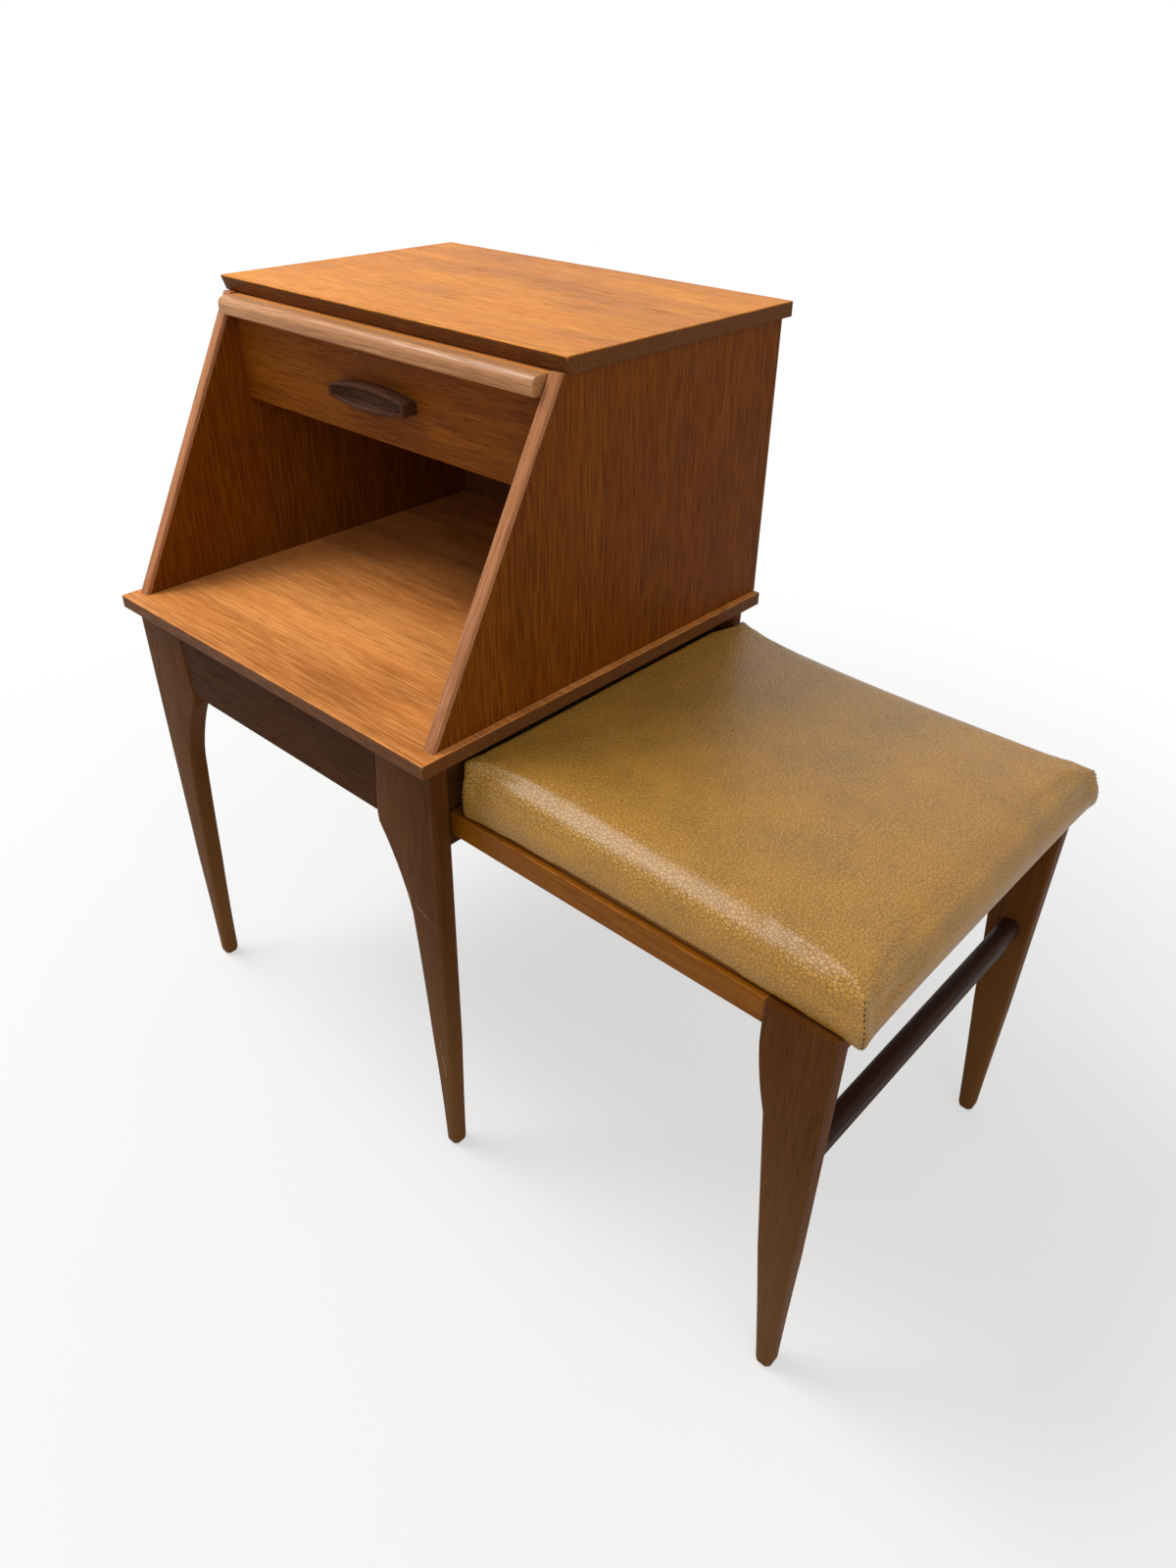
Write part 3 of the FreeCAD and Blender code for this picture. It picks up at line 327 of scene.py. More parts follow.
class Shade:
    """A shader socket that takes part in sums as a number does."""

    def __init__(self, pattern, socket):
        self.pattern = pattern
        self.socket = socket

    def sum(self, operation, *values):
        return self.pattern.node("ShaderNodeMath", {"operation": operation}, dict(enumerate(values)))

    def __add__(self, other):
        return self.sum("ADD", self, other)

    def __sub__(self, other):
        return self.sum("SUBTRACT", self, other)

    def __rsub__(self, other):
        return self.sum("SUBTRACT", other, self)

    def __mul__(self, other):
        return self.sum("MULTIPLY", self, other)

    def __abs__(self):
        return self.sum("ABSOLUTE", self)

    __radd__ = __add__
    __rmul__ = __mul__

    def least(self, other):
        return self.sum("MINIMUM", self, other)

    def most(self, other):
        return self.sum("MAXIMUM", self, other)


class Pattern:
    """A tree of shader nodes that is written out as sums."""

    def __init__(self, tree):
        self.tree = tree

    @staticmethod
    def find(sockets, key):
        """A socket by its number, its identifier or its name."""
        if isinstance(key, int):
            return sockets[key]
        return next(socket for socket in sockets if key in (socket.identifier, socket.name))

    def feed(self, socket, value):
        """Sets a socket to a value, or links it."""
        if isinstance(value, Shade):
            self.tree.links.new(value.socket, socket)
        elif socket.type == "RGBA":
            socket.default_value = (*value, 1.0)
        else:
            socket.default_value = value

    def node(self, kind, settings, sockets, output=0):
        """Any node: its settings are set first, then its sockets are set or linked."""
        made = self.tree.nodes.new(kind)
        for setting, value in settings.items():
            if setting == "stops":
                self.set_stops(made.color_ramp, value)
            else:
                setattr(made, setting, value)
        for key, value in sockets.items():
            self.feed(self.find(made.inputs, key), value)
        return Shade(self, self.find(made.outputs, output))

    @staticmethod
    def set_stops(ramp, stops):
        """Sets a colour ramp's stops, each a place and a colour."""
        while len(ramp.elements) < len(stops):
            ramp.elements.new(1.0)
        for element, (place, colour) in zip(ramp.elements, stops):
            element.position = place
            element.color = (*colour, 1.0)


class Finish(Pattern):
    """A material whose pattern is written out in shader nodes."""

    def __init__(self, name):
        self.material = bpy.data.materials.new(name)
        self.material.use_nodes = True
        super().__init__(self.material.node_tree)
        self.shader = self.tree.nodes["Principled BSDF"]

    def place(self, turn=ORIGIN, shift=ORIGIN):
        """Object coordinates, turned and moved."""
        sockets = {"Vector": self.node("ShaderNodeTexCoord", {}, {}, "Object"), "Rotation": turn, "Location": shift}
        return self.node("ShaderNodeMapping", {"vector_type": "POINT"}, sockets)

    def parts(self, vector):
        """A vector's three numbers."""
        first = self.node("ShaderNodeSeparateXYZ", {}, {"Vector": vector})
        return [Shade(self, socket) for socket in first.socket.node.outputs]

    def vector(self, x, y, z):
        return self.node("ShaderNodeCombineXYZ", {}, {"X": x, "Y": y, "Z": z})

    def noise(self, vector, scale=1.0, detail=2.0, roughness=0.5):
        sockets = {"Vector": vector, "Scale": scale, "Detail": detail, "Roughness": roughness}
        return self.node("ShaderNodeTexNoise", {"noise_dimensions": "3D"}, sockets)

    def cells(self, vector, scale, feature="F1"):
        sockets = {"Vector": vector, "Scale": scale}
        return self.node("ShaderNodeTexVoronoi", {"feature": feature}, sockets, "Distance")

    def step(self, value, start, end):
        """Rises smoothly from 0 at the start to 1 at the end."""
        sockets = {"Value": value, "From Min": start, "From Max": end}
        return self.node("ShaderNodeMapRange", {"interpolation_type": "SMOOTHSTEP"}, sockets)

    def blend(self, share, first, second):
        """Mixes two colours."""
        sockets = {"Factor_Float": share, "A_Color": first, "B_Color": second}
        return self.node("ShaderNodeMix", {"data_type": "RGBA"}, sockets, "Result_Color")

    def ramp(self, value, stops):
        return self.node("ShaderNodeValToRGB", {"stops": stops}, {"Fac": value})

    def surface(self, colour, roughness, height, depth, strength=1.0, **constants):
        """Feeds the shader: what varies is linked, and what is the same all over is set on its own sockets."""
        self.feed(self.shader.inputs["Base Color"], colour)
        self.feed(self.shader.inputs["Roughness"], roughness)
        bump = {"Strength": strength, "Distance": depth, "Height": height}
        self.feed(self.shader.inputs["Normal"], self.node("ShaderNodeBump", {}, bump))
        for name, value in constants.items():
            self.shader.inputs[name.replace("_", " ").title().replace("Ior", "IOR")].default_value = value
        return self.material


def shaded(colour, share):
    """A colour made darker or lighter."""
    return tuple(min(1.0, part * share) for part in colour)


def tinted(colour, red, green, blue):
    """A colour with each of its parts made darker or lighter."""
    return tuple(min(1.0, part * share) for part, share in zip(colour, (red, green, blue)))


# The turn that lays each grain direction along the pattern's own X.
ALONG_X = ORIGIN
ALONG_Y = (0.0, 0.0, -QUARTER)
ALONG_Z = (0.0, QUARTER, 0.0)


def nearest_edge(finish, box):
    """How far a point of a box-shaped board is from the board's nearest edge."""
    places = finish.parts(finish.place())
    near = [(place - low).least(high - place) for place, low, high in zip(places, *box)]
    return near[0].least(near[1]).most(near[0].most(near[1]).least(near[2]))


# How strongly a wood shows its figure, fibres, clouds and pores, how rough it is and how much it mirrors.
Grain = namedtuple("Grain", "figure fibres clouds pores gloss sheen", defaults=(0.07,))
GRAIN = {
    "board": Grain(0.6, 0.9, 1.2, 0.4, 0.42),
    "side": Grain(0.4, 1.7, 0.45, 0.6, 0.46),
    "lipping": Grain(0.5, 0.9, 0.7, 0.4, 0.5),
    "drawer": Grain(0.95, 0.8, 0.7, 0.5, 0.44),
    "slide": Grain(0.8, 0.7, 0.9, 0.5, 0.44),
    "nosing": Grain(0.6, 0.7, 0.8, 0.45, 0.36, 0.35),
    "pull": Grain(0.6, 0.9, 0.6, 0.6, 0.42),
    "leg": Grain(0.55, 0.5, 0.8, 0.45, 0.44, 0.04),
    "apron": Grain(0.8, 0.8, 0.9, 0.5, 0.48, 0.03),
    "rail": Grain(0.7, 0.7, 0.5, 0.35, 0.4),
    "stretcher": Grain(0.8, 0.6, 0.8, 0.4, 0.4),
    "plywood": Grain(1.3, 0.5, 0.9, 0.2, 0.62),
    "plywood_back_shaded": Grain(1.3, 0.5, 0.9, 0.2, 0.6),
    "hardwood": Grain(0.7, 0.5, 0.5, 0.25, 0.6),
    "pegs": Grain(0.5, 0.4, 0.4, 0.2, 0.6),
}
WANDER = 0.011  # how far the grain strays from a straight line
# Scales of noise along and across the grain.
STRAYING, BANDS, THREADS, DASHES = (2.2, 11), (1.5, 46), (20, 820), (38, 1150)
CLOUDS, WARMTH = (5, 11), (3, 24)
# Shares of a wood's middle tone: red, green and blue of its pores, its pale fleck marks painted as glints, and its
# warmer places.
PORE, FLECK_GLINT, WARMER = (0.42, 0.33, 0.25), (1.5, 1.65, 1.9), (1.08, 0.92, 0.74)
PARTING = 0.1 * MM  # half the width of the line between a veneer and its edge strip


def timber(name, colour, grain, turn=ALONG_X, shift=ORIGIN, edging=None, wear_and_highlight=None, marks=None):
    """Oiled wood: slow bands of figure, fine fibres, open pores and soft clouds, all running along the grain.

    edging is (level, colour): below that level the board's veneer gives way to an edge strip.
    worn is (box, width, colour): a paler line along the upper edges of a board, partly wear and partly a painted
    highlight on the upper arrises.
    marks is a function that adds marks of use to the colour.
    """
    colour = tuple(colour)
    figure, fibres, clouds, pores, gloss, sheen = GRAIN[grain]
    finish = Finish(name)
    along, across, through = finish.parts(finish.place(turn, shift))

    def drawn_out(scales, **detail):
        """Noise drawn out along the grain."""
        lengthways, crosswise = scales
        return finish.noise(finish.vector(along * lengthways, across * crosswise, through * crosswise), **detail)

    across = across + (drawn_out(STRAYING, detail=1.0) - 0.5) * WANDER
    bands = drawn_out(BANDS, detail=3.0, roughness=0.55)
    threads = drawn_out(THREADS, detail=3.0, roughness=0.65)
    dashes = drawn_out(DASHES, detail=1.0)
    cloud = drawn_out(CLOUDS, detail=2.0)
    tone_share = 0.5 + (bands - 0.5) * figure * 1.3 + (threads - 0.5) * fibres * 2.1 + (cloud - 0.5) * clouds
    stops = [
        (0.12, tinted(colour, 0.62, 0.52, 0.44)),
        (0.38, tinted(colour, 0.86, 0.82, 0.78)),
        (0.55, colour),
        (0.85, tinted(colour, 1.26, 1.34, 1.42)),
    ]
    shown = finish.ramp(tone_share, stops)
    warmth = finish.step(drawn_out(WARMTH, detail=1.0), 0.42, 0.66)
    shown = finish.blend(warmth * 0.35, shown, tinted(colour, *WARMER))
    if edging:
        height = finish.parts(finish.place())[2]
        parting, edge = edging
        below = finish.step(height, parting + PARTING, parting - PARTING)
        strip = finish.blend(threads, tinted(edge, 0.62, 0.56, 0.5), tinted(edge, 1.4, 1.45, 1.5))
        shown = finish.blend(below, shown, strip)
    open_pores = finish.step(dashes, 0.54, 0.66)
    shown = finish.blend(open_pores * pores, shown, tinted(colour, *PORE))
    # Pale fleck marks along the grain: painted glints.
    glint_flecks = finish.step(dashes, 0.42, 0.32)
    shown = finish.blend(glint_flecks * pores * 0.3, shown, tinted(colour, *FLECK_GLINT))
    # A paler line along the upper edges: partly wear, partly a painted highlight on the arrises.
    if wear_and_highlight:
        box, width, wear_and_highlight_tone = wear_and_highlight
        upper = finish.step(finish.parts(finish.place())[2], box[1].z - 3 * width, box[1].z - width)
        wear_and_highlight_line = finish.step(nearest_edge(finish, box), width, 0.2 * MM) * upper
        patches = finish.step(finish.noise(finish.place(), 60.0, 3.0), 0.40, 0.62)
        shown = finish.blend(wear_and_highlight_line * patches * 0.55, shown, wear_and_highlight_tone)
    if marks:
        shown = marks(finish, shown)
    roughness = gloss + (threads - 0.5) * 0.25 + (cloud - 0.5) * 0.16 + open_pores * 0.18
    height = threads * 0.35 - open_pores * 0.65
    return finish.surface(shown, roughness, height, 0.25 * MM, strength=0.5, specular_ior_level=sheen)


SCRATCHED = (0.60, 0.46, 0.32)
NICKED = (0.62, 0.45, 0.26)


def scratch(finish, shown, start, end, slope, bend, width, share):
    """A fine curved line down a leg. It starts at (x, z), ends at a height, and slopes and bends on its way."""
    x, _, z = finish.parts(finish.place())
    run = z - start[1]
    line = x - start[0] - run * slope - run * run * bend
    on_line = finish.step(abs(line), width, width * 0.35)
    within = finish.step(z, end, end + 2 * MM) * finish.step(z, start[1], start[1] - 2 * MM)
    broken = finish.step(finish.noise(finish.place(), 420.0, 1.0), 0.38, 0.55)
    return finish.blend(on_line * within * broken * share, shown, SCRATCHED)


def spot(finish, shown, centre, radius, colour, share=1.0):
    """A small round mark on the surface."""
    far = finish.node("ShaderNodeVectorMath", {"operation": "DISTANCE"}, {0: finish.place(), 1: centre}, "Value")
    return finish.blend(finish.step(far, radius, radius * 0.4) * share, shown, colour)


# ---- the pieces

SIDES = ("left", "right")


class BENCH_OT_cabinet_boards(Operator):
    """Finish the veneered boards of the cabinet, with their edge strips and lippings"""

    bl_idname = "bench.cabinet_boards"
    bl_label = "Cabinet Boards"

    def execute(self, context):
        tones = context.scene.bench_colours
        # These veneer tones carry painted light: lighter on the top and shelf, darker on the edge strips and the sides.
        for name, veneer in (("top_board", tones.top_veneer_lit), ("shelf_board", tones.shelf_veneer_lit)):
            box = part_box(name)
            edging = (box[1].z - 0.7 * MM, tones.board_edge_shaded)
            # The pale line on the upper edges is partly wear, partly a painted highlight.
            wear_and_highlight = (box, 1.6 * MM, tinted(veneer, 1.2, 1.15, 1.1))
            wood = timber(f"{name}_veneer", veneer, "board", shift=(0.0, box[0].z, 0.0), edging=edging, wear_and_highlight=wear_and_highlight)
            finish_nodes(wood, name)
        side = timber("side_veneer_shaded", tones.side_veneer_shaded, "side", turn=ALONG_Z)
        finish_nodes(side, "side_panel_left", "side_panel_right")
        low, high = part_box("side_lipping_right")
        slope = math.atan2(high.z - low.z, high.y - low.y)
        lipping = timber("side_lipping", tones.lipping, "lipping", turn=(-slope, 0.0, -QUARTER))
        finish_nodes(lipping, "side_lipping_left", "side_lipping_right")
        return {"FINISHED"}


class BENCH_OT_hidden_timber(Operator):
    """Finish the plywood panels and the pale hardwood inside the cabinet and the seat"""

    bl_idname = "bench.hidden_timber"
    bl_label = "Hidden Timber"

    def execute(self, context):
        tones = context.scene.bench_colours
        ply, pale = tones.plywood, tones.hardwood
        cross = ("drawer_back", "slide_cross_rail", "corner_blocks", "seat_dowels", "apron_dowels")
        pairs = [f"{piece}_{side}" for piece in ("drawer_side", "drawer_runner", "slide_guide") for side in SIDES]
        for name, colour, grain, turn, nodes in (
            ("plywood_face", ply, "plywood", ALONG_X, ("drawer_bottom", "seat_base")),
            # The back panel's plywood is painted darker, as shade at the back of the open shelf, and browner, towards
            # the veneer.
            ("plywood_back_shaded", tinted(ply, 0.5, 0.42, 0.36), "plywood_back_shaded", ALONG_Z, ("back_panel",)),
            ("hardwood_along", pale, "hardwood", ALONG_X, cross),
            ("hardwood_back", pale, "hardwood", ALONG_Y, pairs),
            ("hardwood_pegs", pale, "pegs", ALONG_Z, ("carcase_pegs", "slide_stop_pins")),
        ):
            finish_nodes(timber(name, colour, grain, turn), *nodes)
        return {"FINISHED"}


class BENCH_OT_drawer_front(Operator):
    """Finish the veneered drawer front"""

    bl_idname = "bench.drawer_front"
    bl_label = "Drawer Front"

    def execute(self, context):
        low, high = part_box("drawer_front")

        def nicks(finish, shown):
            for across, up in ((0.525, 0.62), (0.415, 0.93), (0.437, 0.90), (0.30, 0.95)):
                centre = (low.x + (high.x - low.x) * across, low.y, low.z + (high.z - low.z) * up)
                shown = spot(finish, shown, centre, 0.9 * MM, NICKED, 0.6)
            return shown

        colour = context.scene.bench_colours.drawer_veneer_shaded
        finish_nodes(timber("drawer_veneer_shaded", colour, "drawer", shift=(0.13, 0.0, 0.07), marks=nicks), "drawer_front")
        return {"FINISHED"}


class BENCH_OT_writing_slide(Operator):
    """Shape the nosing of the writing slide, and finish the slide's board"""

    bl_idname = "bench.writing_slide"
    bl_label = "Writing Slide"

    def execute(self, context):
        sizes = context.scene.bench_sizes
        tones = context.scene.bench_colours
        low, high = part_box("slide_nosing")
        nosing = block("writing_slide_nosing", low, high)
        for height, radius, steps in ((high.z, sizes.nosing_round, 8), (low.z, sizes.nosing_lower, 5)):
            pick(nosing, "EDGE", lambda edge: level(edge, 1, low.y) and level(edge, 2, height))
            ease(radius, steps)
        for end in (low.x, high.x):
            pick(nosing, "EDGE", lambda edge: level(edge, 0, end) and not level(edge, 1, high.y))
            ease(0.8 * MM, 3)
        put_down()
        smooth(nosing)
        # The pale line on the nosing's upper edges is partly wear, partly a painted highlight.
        wear_and_highlight = ((low, high), 2.0 * MM, tinted(tones.nosing, 1.15, 1.2, 1.3))
        wood = timber("nosing_wood", tones.nosing, "nosing", shift=(0.0, 0.31, 0.0), wear_and_highlight=wear_and_highlight)
        hand_over(nosing, wood, "writing_slide", "teak_lipping", "slide_nosing")
        board = timber("slide_board_veneer", tones.shelf_veneer_lit, "slide", shift=(0.2, 0.4, 0.0))
        finish_nodes(board, "slide_board")
        return {"FINISHED"}


ROUND_FROM, ROUND_TO = 140 * MM, 14 * MM  # heights between which a leg's section turns round
ROUNDNESS = 0.85
PAST_DOWELS = 4.2 * MM  # behind a leg's front face, where no dowel hole lies
# Each ring of a leg's foot: how far down the dome it lies, and how wide it is there.
DOME = ((0.25, 0.985), (0.50, 0.94), (0.72, 0.86), (0.88, 0.73), (0.97, 0.56), (1.0, 0.34))


def round_section(leg, start, end):
    """Turns the leg's square section into a round one between two heights, ring by ring."""
    rings = {}
    for vertex in leg.data.vertices:
        if vertex.co.z < start:
            rings.setdefault(round(vertex.co.z / (0.1 * MM)), []).append(vertex)
    for ring in rings.values():
        columns = list(zip(*(vertex.co for vertex in ring)))
        low, high = Vector(map(min, columns)), Vector(map(max, columns))
        middle, half = (low + high) / 2, (high - low) / 2
        if min(half.x, half.y) < 0.5 * MM:
            continue
        share = ROUNDNESS * min(1.0, (start - ring[0].co.z) / (start - end))
        for vertex in ring:
            a, b = (vertex.co.x - middle.x) / half.x, (vertex.co.y - middle.y) / half.y
            vertex.co.x = middle.x + half.x * a * (1.0 - share + share * math.sqrt(max(0.0, 1.0 - b * b / 2)))
            vertex.co.y = middle.y + half.y * b * (1.0 - share + share * math.sqrt(max(0.0, 1.0 - a * a / 2)))


def side_places(node, height):
    """Where a level line just behind the node's front face meets its left and right sides."""
    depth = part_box(node.name)[0].y + PAST_DOWELS
    places = []
    for direction in (1.0, -1.0):
        met, place, _, _ = node.ray_cast(Vector((-direction, depth, height)), Vector((direction, 0.0, 0.0)))
        if not met:
            raise RuntimeError(f"{node.name} isn't there at {height:.3f} m")
        places.append(place.x)
    return places


def shape_leg(name, node_name, sizes):
    """A leg drawn up from the floor along its CAD node's outline, its long edges rounded and its foot domed."""
    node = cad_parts[node_name]
    low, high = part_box(node_name)
    depth = (low.y + high.y) / 2
    foot = low.z + sizes.foot_dome
    left, right = side_places(node, foot)
    clear_bench()
    bpy.ops.mesh.primitive_plane_add(size=1.0, location=((left + right) / 2, depth, foot))
    bpy.ops.transform.resize(value=(right - left, high.y - low.y, 1.0))
    leg = into_edit(name)
    take_all()
    centre, wide = (left + right) / 2, right - left
    rise = (high.z - foot) / sizes.leg_stations
    for station in range(1, sizes.leg_stations + 1):
        height = foot + rise * station
        left, right = side_places(node, min(height, high.z - 0.5 * MM))
        new_centre, new_wide = (left + right) / 2, right - left
        extrude((new_centre - centre, 0.0, rise))
        resize((new_wide / wide, 1.0, 1.0), (new_centre, depth, height))
        centre, wide = new_centre, new_wide
    face_outwards()
    pick(leg, "EDGE", lambda edge: abs(edge.verts[0].co.z - edge.verts[1].co.z) > rise / 2)
    ease(sizes.leg_arris, 4)
    pick(leg, "FACE", lambda face: level(face, 2, foot))
    left, right = side_places(node, foot)
    centre = (left + right) / 2
    width, sunk = 1.0, 0.0
    for share, narrower in DOME:
        deeper = sizes.foot_dome * share
        extrude((0.0, 0.0, sunk - deeper))
        resize((narrower / width, narrower / width, 1.0), (centre, depth, foot - deeper))
        width, sunk = narrower, deeper
    put_down()
    round_section(leg, low.z + ROUND_FROM, low.z + ROUND_TO)
    smooth(leg)
    return leg


def paler_towards_floor(finish, shown, colour):
    """A leg's colour, greyer and paler towards the floor, by height alone."""
    height = finish.parts(finish.place())[2]
    low_down = finish.step(height, 0.40, 0.02)
    return finish.blend(low_down * 0.75, shown, tinted(colour, 1.55, 2.1, 3.4))


def leg_wood(name, colour, shift, scratches=()):
    def marks(finish, shown):
        shown = paler_towards_floor(finish, shown, colour)
        for line in scratches:
            shown = scratch(finish, shown, *line)
        return shown

    return timber(name, colour, "leg", ALONG_Z, shift, marks=marks)


# The scratches on the front right leg: start, lower end, slope, bend, width and strength.
SCRATCHES = (
    ((-0.010, 0.3028), 0.2790, -0.90, 26.0, 0.6 * MM, 0.85),
    ((0.017, 0.142), 0.0956, -0.084, 0.0, 0.5 * MM, 0.5),
)


class BENCH_OT_cabinet_legs(Operator):
    """Shape one cabinet leg with its broad shoulder, and make the other three from it"""

    bl_idname = "bench.cabinet_legs"
    bl_label = "Cabinet Legs"

    def execute(self, context):
        sizes = context.scene.bench_sizes
        colour = tuple(context.scene.bench_colours.leg)
        low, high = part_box("leg_front_left")
        middle = (low.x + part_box("leg_front_right")[1].x) / 2
        back = Vector((0.0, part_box("leg_back_left")[0].y - low.y, 0.0))
        first = shape_leg("cabinet_leg_front_left", "leg_front_left", sizes)
        legs = {
            "front_left": first,
            "back_left": copy_of(first, "cabinet_leg_back_left", back),
            "front_right": copy_of(first, "cabinet_leg_front_right", mirror_at=middle),
            "back_right": copy_of(first, "cabinet_leg_back_right", back, mirror_at=middle),
        }

        for number, (place, leg) in enumerate(legs.items()):
            shift = (0.17 * number, 0.0, 0.23 * number)
            wood = leg_wood(f"leg_wood_{place}", colour, shift, SCRATCHES if place == "front_right" else ())
            hand_over(leg, wood, "bench", "teak_frame", f"leg_{place}")
        return {"FINISHED"}


class BENCH_OT_seat_legs(Operator):
    """Shape one seat leg with its broad head, and make the other from it"""

    bl_idname = "bench.seat_legs"
    bl_label = "Seat Legs"

    def execute(self, context):
        sizes = context.scene.bench_sizes
        colour = tuple(context.scene.bench_colours.leg)
        back = Vector((0.0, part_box("seat_leg_back")[0].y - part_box("seat_leg_front")[0].y, 0.0))
        front_leg = shape_leg("seat_support_front", "seat_leg_front", sizes)
        back_leg = copy_of(front_leg, "seat_support_back", back)
        for leg, place, shift in ((front_leg, "front", (0.5, 0.0, 0.1)), (back_leg, "back", (0.7, 0.0, 0.4))):
            wood = leg_wood(f"seat_leg_wood_{place}", colour, shift)
            hand_over(leg, wood, "bench", "teak_frame", f"seat_leg_{place}")
        return {"FINISHED"}


class BENCH_OT_frame_rails(Operator):
    """Finish the aprons, the seat rails and the stretcher"""

    bl_idname = "bench.frame_rails"
    bl_label = "Frame Rails"

    def execute(self, context):
        tones = context.scene.bench_colours
        # The pale lines on the rail's and stretcher's upper edges are partly wear, partly painted highlights.
        rail_wear_and_highlight = (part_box("seat_rail_front"), 1.3 * MM, tinted(tones.rail, 1.9, 1.9, 2.0))
        bar_wear_and_highlight = (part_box("stretcher"), 4.0 * MM, tinted(tones.stretcher, 2.0, 1.7, 1.5))
        for name, colour, grain, turn, shift, wear_and_highlight, *nodes in (
            ("apron", tones.apron, "apron", ALONG_X, (0.3, 0.0, 0.2), None, "apron_front", "apron_back"),
            ("side_apron", tones.apron, "apron", ALONG_Y, ORIGIN, None, "side_apron_left", "side_apron_right"),
            ("seat_rail", tones.rail, "rail", ALONG_X, (0.1, 0.2, 0.5), rail_wear_and_highlight, "seat_rail_front", "seat_rail_back"),
            ("end_rail", tones.rail, "apron", ALONG_Y, ORIGIN, None, "seat_end_rail"),
            ("stretcher", tones.stretcher, "stretcher", ALONG_Y, ORIGIN, bar_wear_and_highlight, "stretcher"),
        ):
            finish_nodes(timber(f"{name}_wood", colour, grain, turn, shift, wear_and_highlight=wear_and_highlight), *nodes)
        return {"FINISHED"}


# The drawer's pull: its cuts, and how its outline falls away to lower ends.
PULL_CUTS = 22
PULL_END = 0.47
PULL_CURVE = 2.1
# Each ring of its scoop: length and height against the face's, and how deep it lies.
SCOOP = (
    (0.955, 0.80, 0.0),
    (0.945, 0.76, 0.10),
    (0.925, 0.68, 0.45),
    (0.89, 0.57, 0.75),
    (0.83, 0.43, 0.92),
    (0.70, 0.26, 1.0),
    (0.45, 0.10, 1.0),
)


class BENCH_OT_drawer_pull(Operator):
    """Carve the drawer's pull: a boat-shaped block with a scooped face"""

    bl_idname = "bench.drawer_pull"
    bl_label = "Drawer Pull"

    def execute(self, context):
        sizes = context.scene.bench_sizes
        colour = tuple(context.scene.bench_colours.pull)
        low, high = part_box("drawer_handle")
        centre = (low + high) / 2
        half = (high.x - low.x) / 2
        pull = block("drawer_pull", low, high)
        stations = [-half + 2 * half * cut / PULL_CUTS for cut in range(PULL_CUTS + 1)]
        for station in stations[1:-1]:
            saw((centre.x + station, centre.y, centre.z), (1.0, 0.0, 0.0))
        for station in stations:
            tall = 1.0 - (1.0 - PULL_END) * abs(station / half) ** PULL_CURVE
            pick(pull, "VERT", lambda vertex: level(vertex, 0, centre.x + station))
            resize((1.0, 1.0, tall), (centre.x + station, centre.y, centre.z))
        for face_at in (low.y, high.y):
            pick(pull, "FACE", lambda face: level(face, 1, face_at))
            bpy.ops.mesh.dissolve_faces()
        pick(pull, "EDGE", lambda edge: level(edge, 0, low.x) or level(edge, 0, high.x))
        ease(0.8 * MM, 3)
        pick(pull, "EDGE", lambda edge: level(edge, 1, low.y))
        ease(sizes.pull_ease, 4)
        pick(pull, "FACE", lambda face: level(face, 1, low.y))
        along, tall, sunk = 1.0, 1.0, 0.0
        for new_along, new_tall, share in SCOOP:
            deeper = sizes.pull_scoop * share
            extrude((0.0, deeper - sunk, 0.0))
            resize((new_along / along, 1.0, new_tall / tall), centre)
            along, tall, sunk = new_along, new_tall, deeper
        put_down()
        smooth(pull, 50)
        # The pale rim line is mostly a painted highlight along the pull's top edge, with some wear.
        rim = (low, high + Vector((0.0, 0.1, 0.0)))
        wear_and_highlight = (rim, 1.2 * MM, tinted(colour, 1.5, 1.5, 1.6))
        wood = timber("pull_wood", colour, "pull", shift=(0.4, 0.1, 0.3), wear_and_highlight=wear_and_highlight)
        hand_over(pull, wood, "drawer", "dark_teak", "drawer_handle")
        return {"FINISHED"}


SHANK, HEAD = 2.0 * MM, 3.6 * MM  # radii of a screw
SLOT_DEPTH = 0.9 * MM
TURNS = 9


def turned_screw(name, tip, long, slot):
    """A countersunk wood screw with a slotted head at the tip and a ridged shank that rises from it."""
    clear_bench()
    bpy.ops.mesh.primitive_circle_add(vertices=24, radius=HEAD, location=tip, fill_type="NGON")
    screw = into_edit(name)
    take_all()
    height, size = tip[2], HEAD
    pitch = (long - HEAD) / (TURNS + 1.5)
    ridge = ((pitch * 0.35, SHANK * 0.78), (pitch * 0.30, SHANK), (pitch * 0.35, SHANK))
    rings = ((0.3 * MM, HEAD), ((HEAD - SHANK) * 0.9, SHANK), *ridge * TURNS, (pitch * 1.5, SHANK * 0.12))
    for rise, radius in rings:
        extrude((0.0, 0.0, rise))
        height += rise
        resize((radius / size, radius / size, 1.0), (tip[0], tip[1], height))
        size = radius
    face_outwards()
    for side in (-0.5, 0.5):
        saw((tip[0], tip[1] + slot * side, tip[2]), (0.0, 1.0, 0.0))
    pick(screw, "FACE", lambda face: level(face, 2, tip[2]) and abs(face.calc_center_median().y - tip[1]) < slot / 2)
    extrude((0.0, 0.0, SLOT_DEPTH))
    put_down()
    smooth(screw, 30)
    return screw


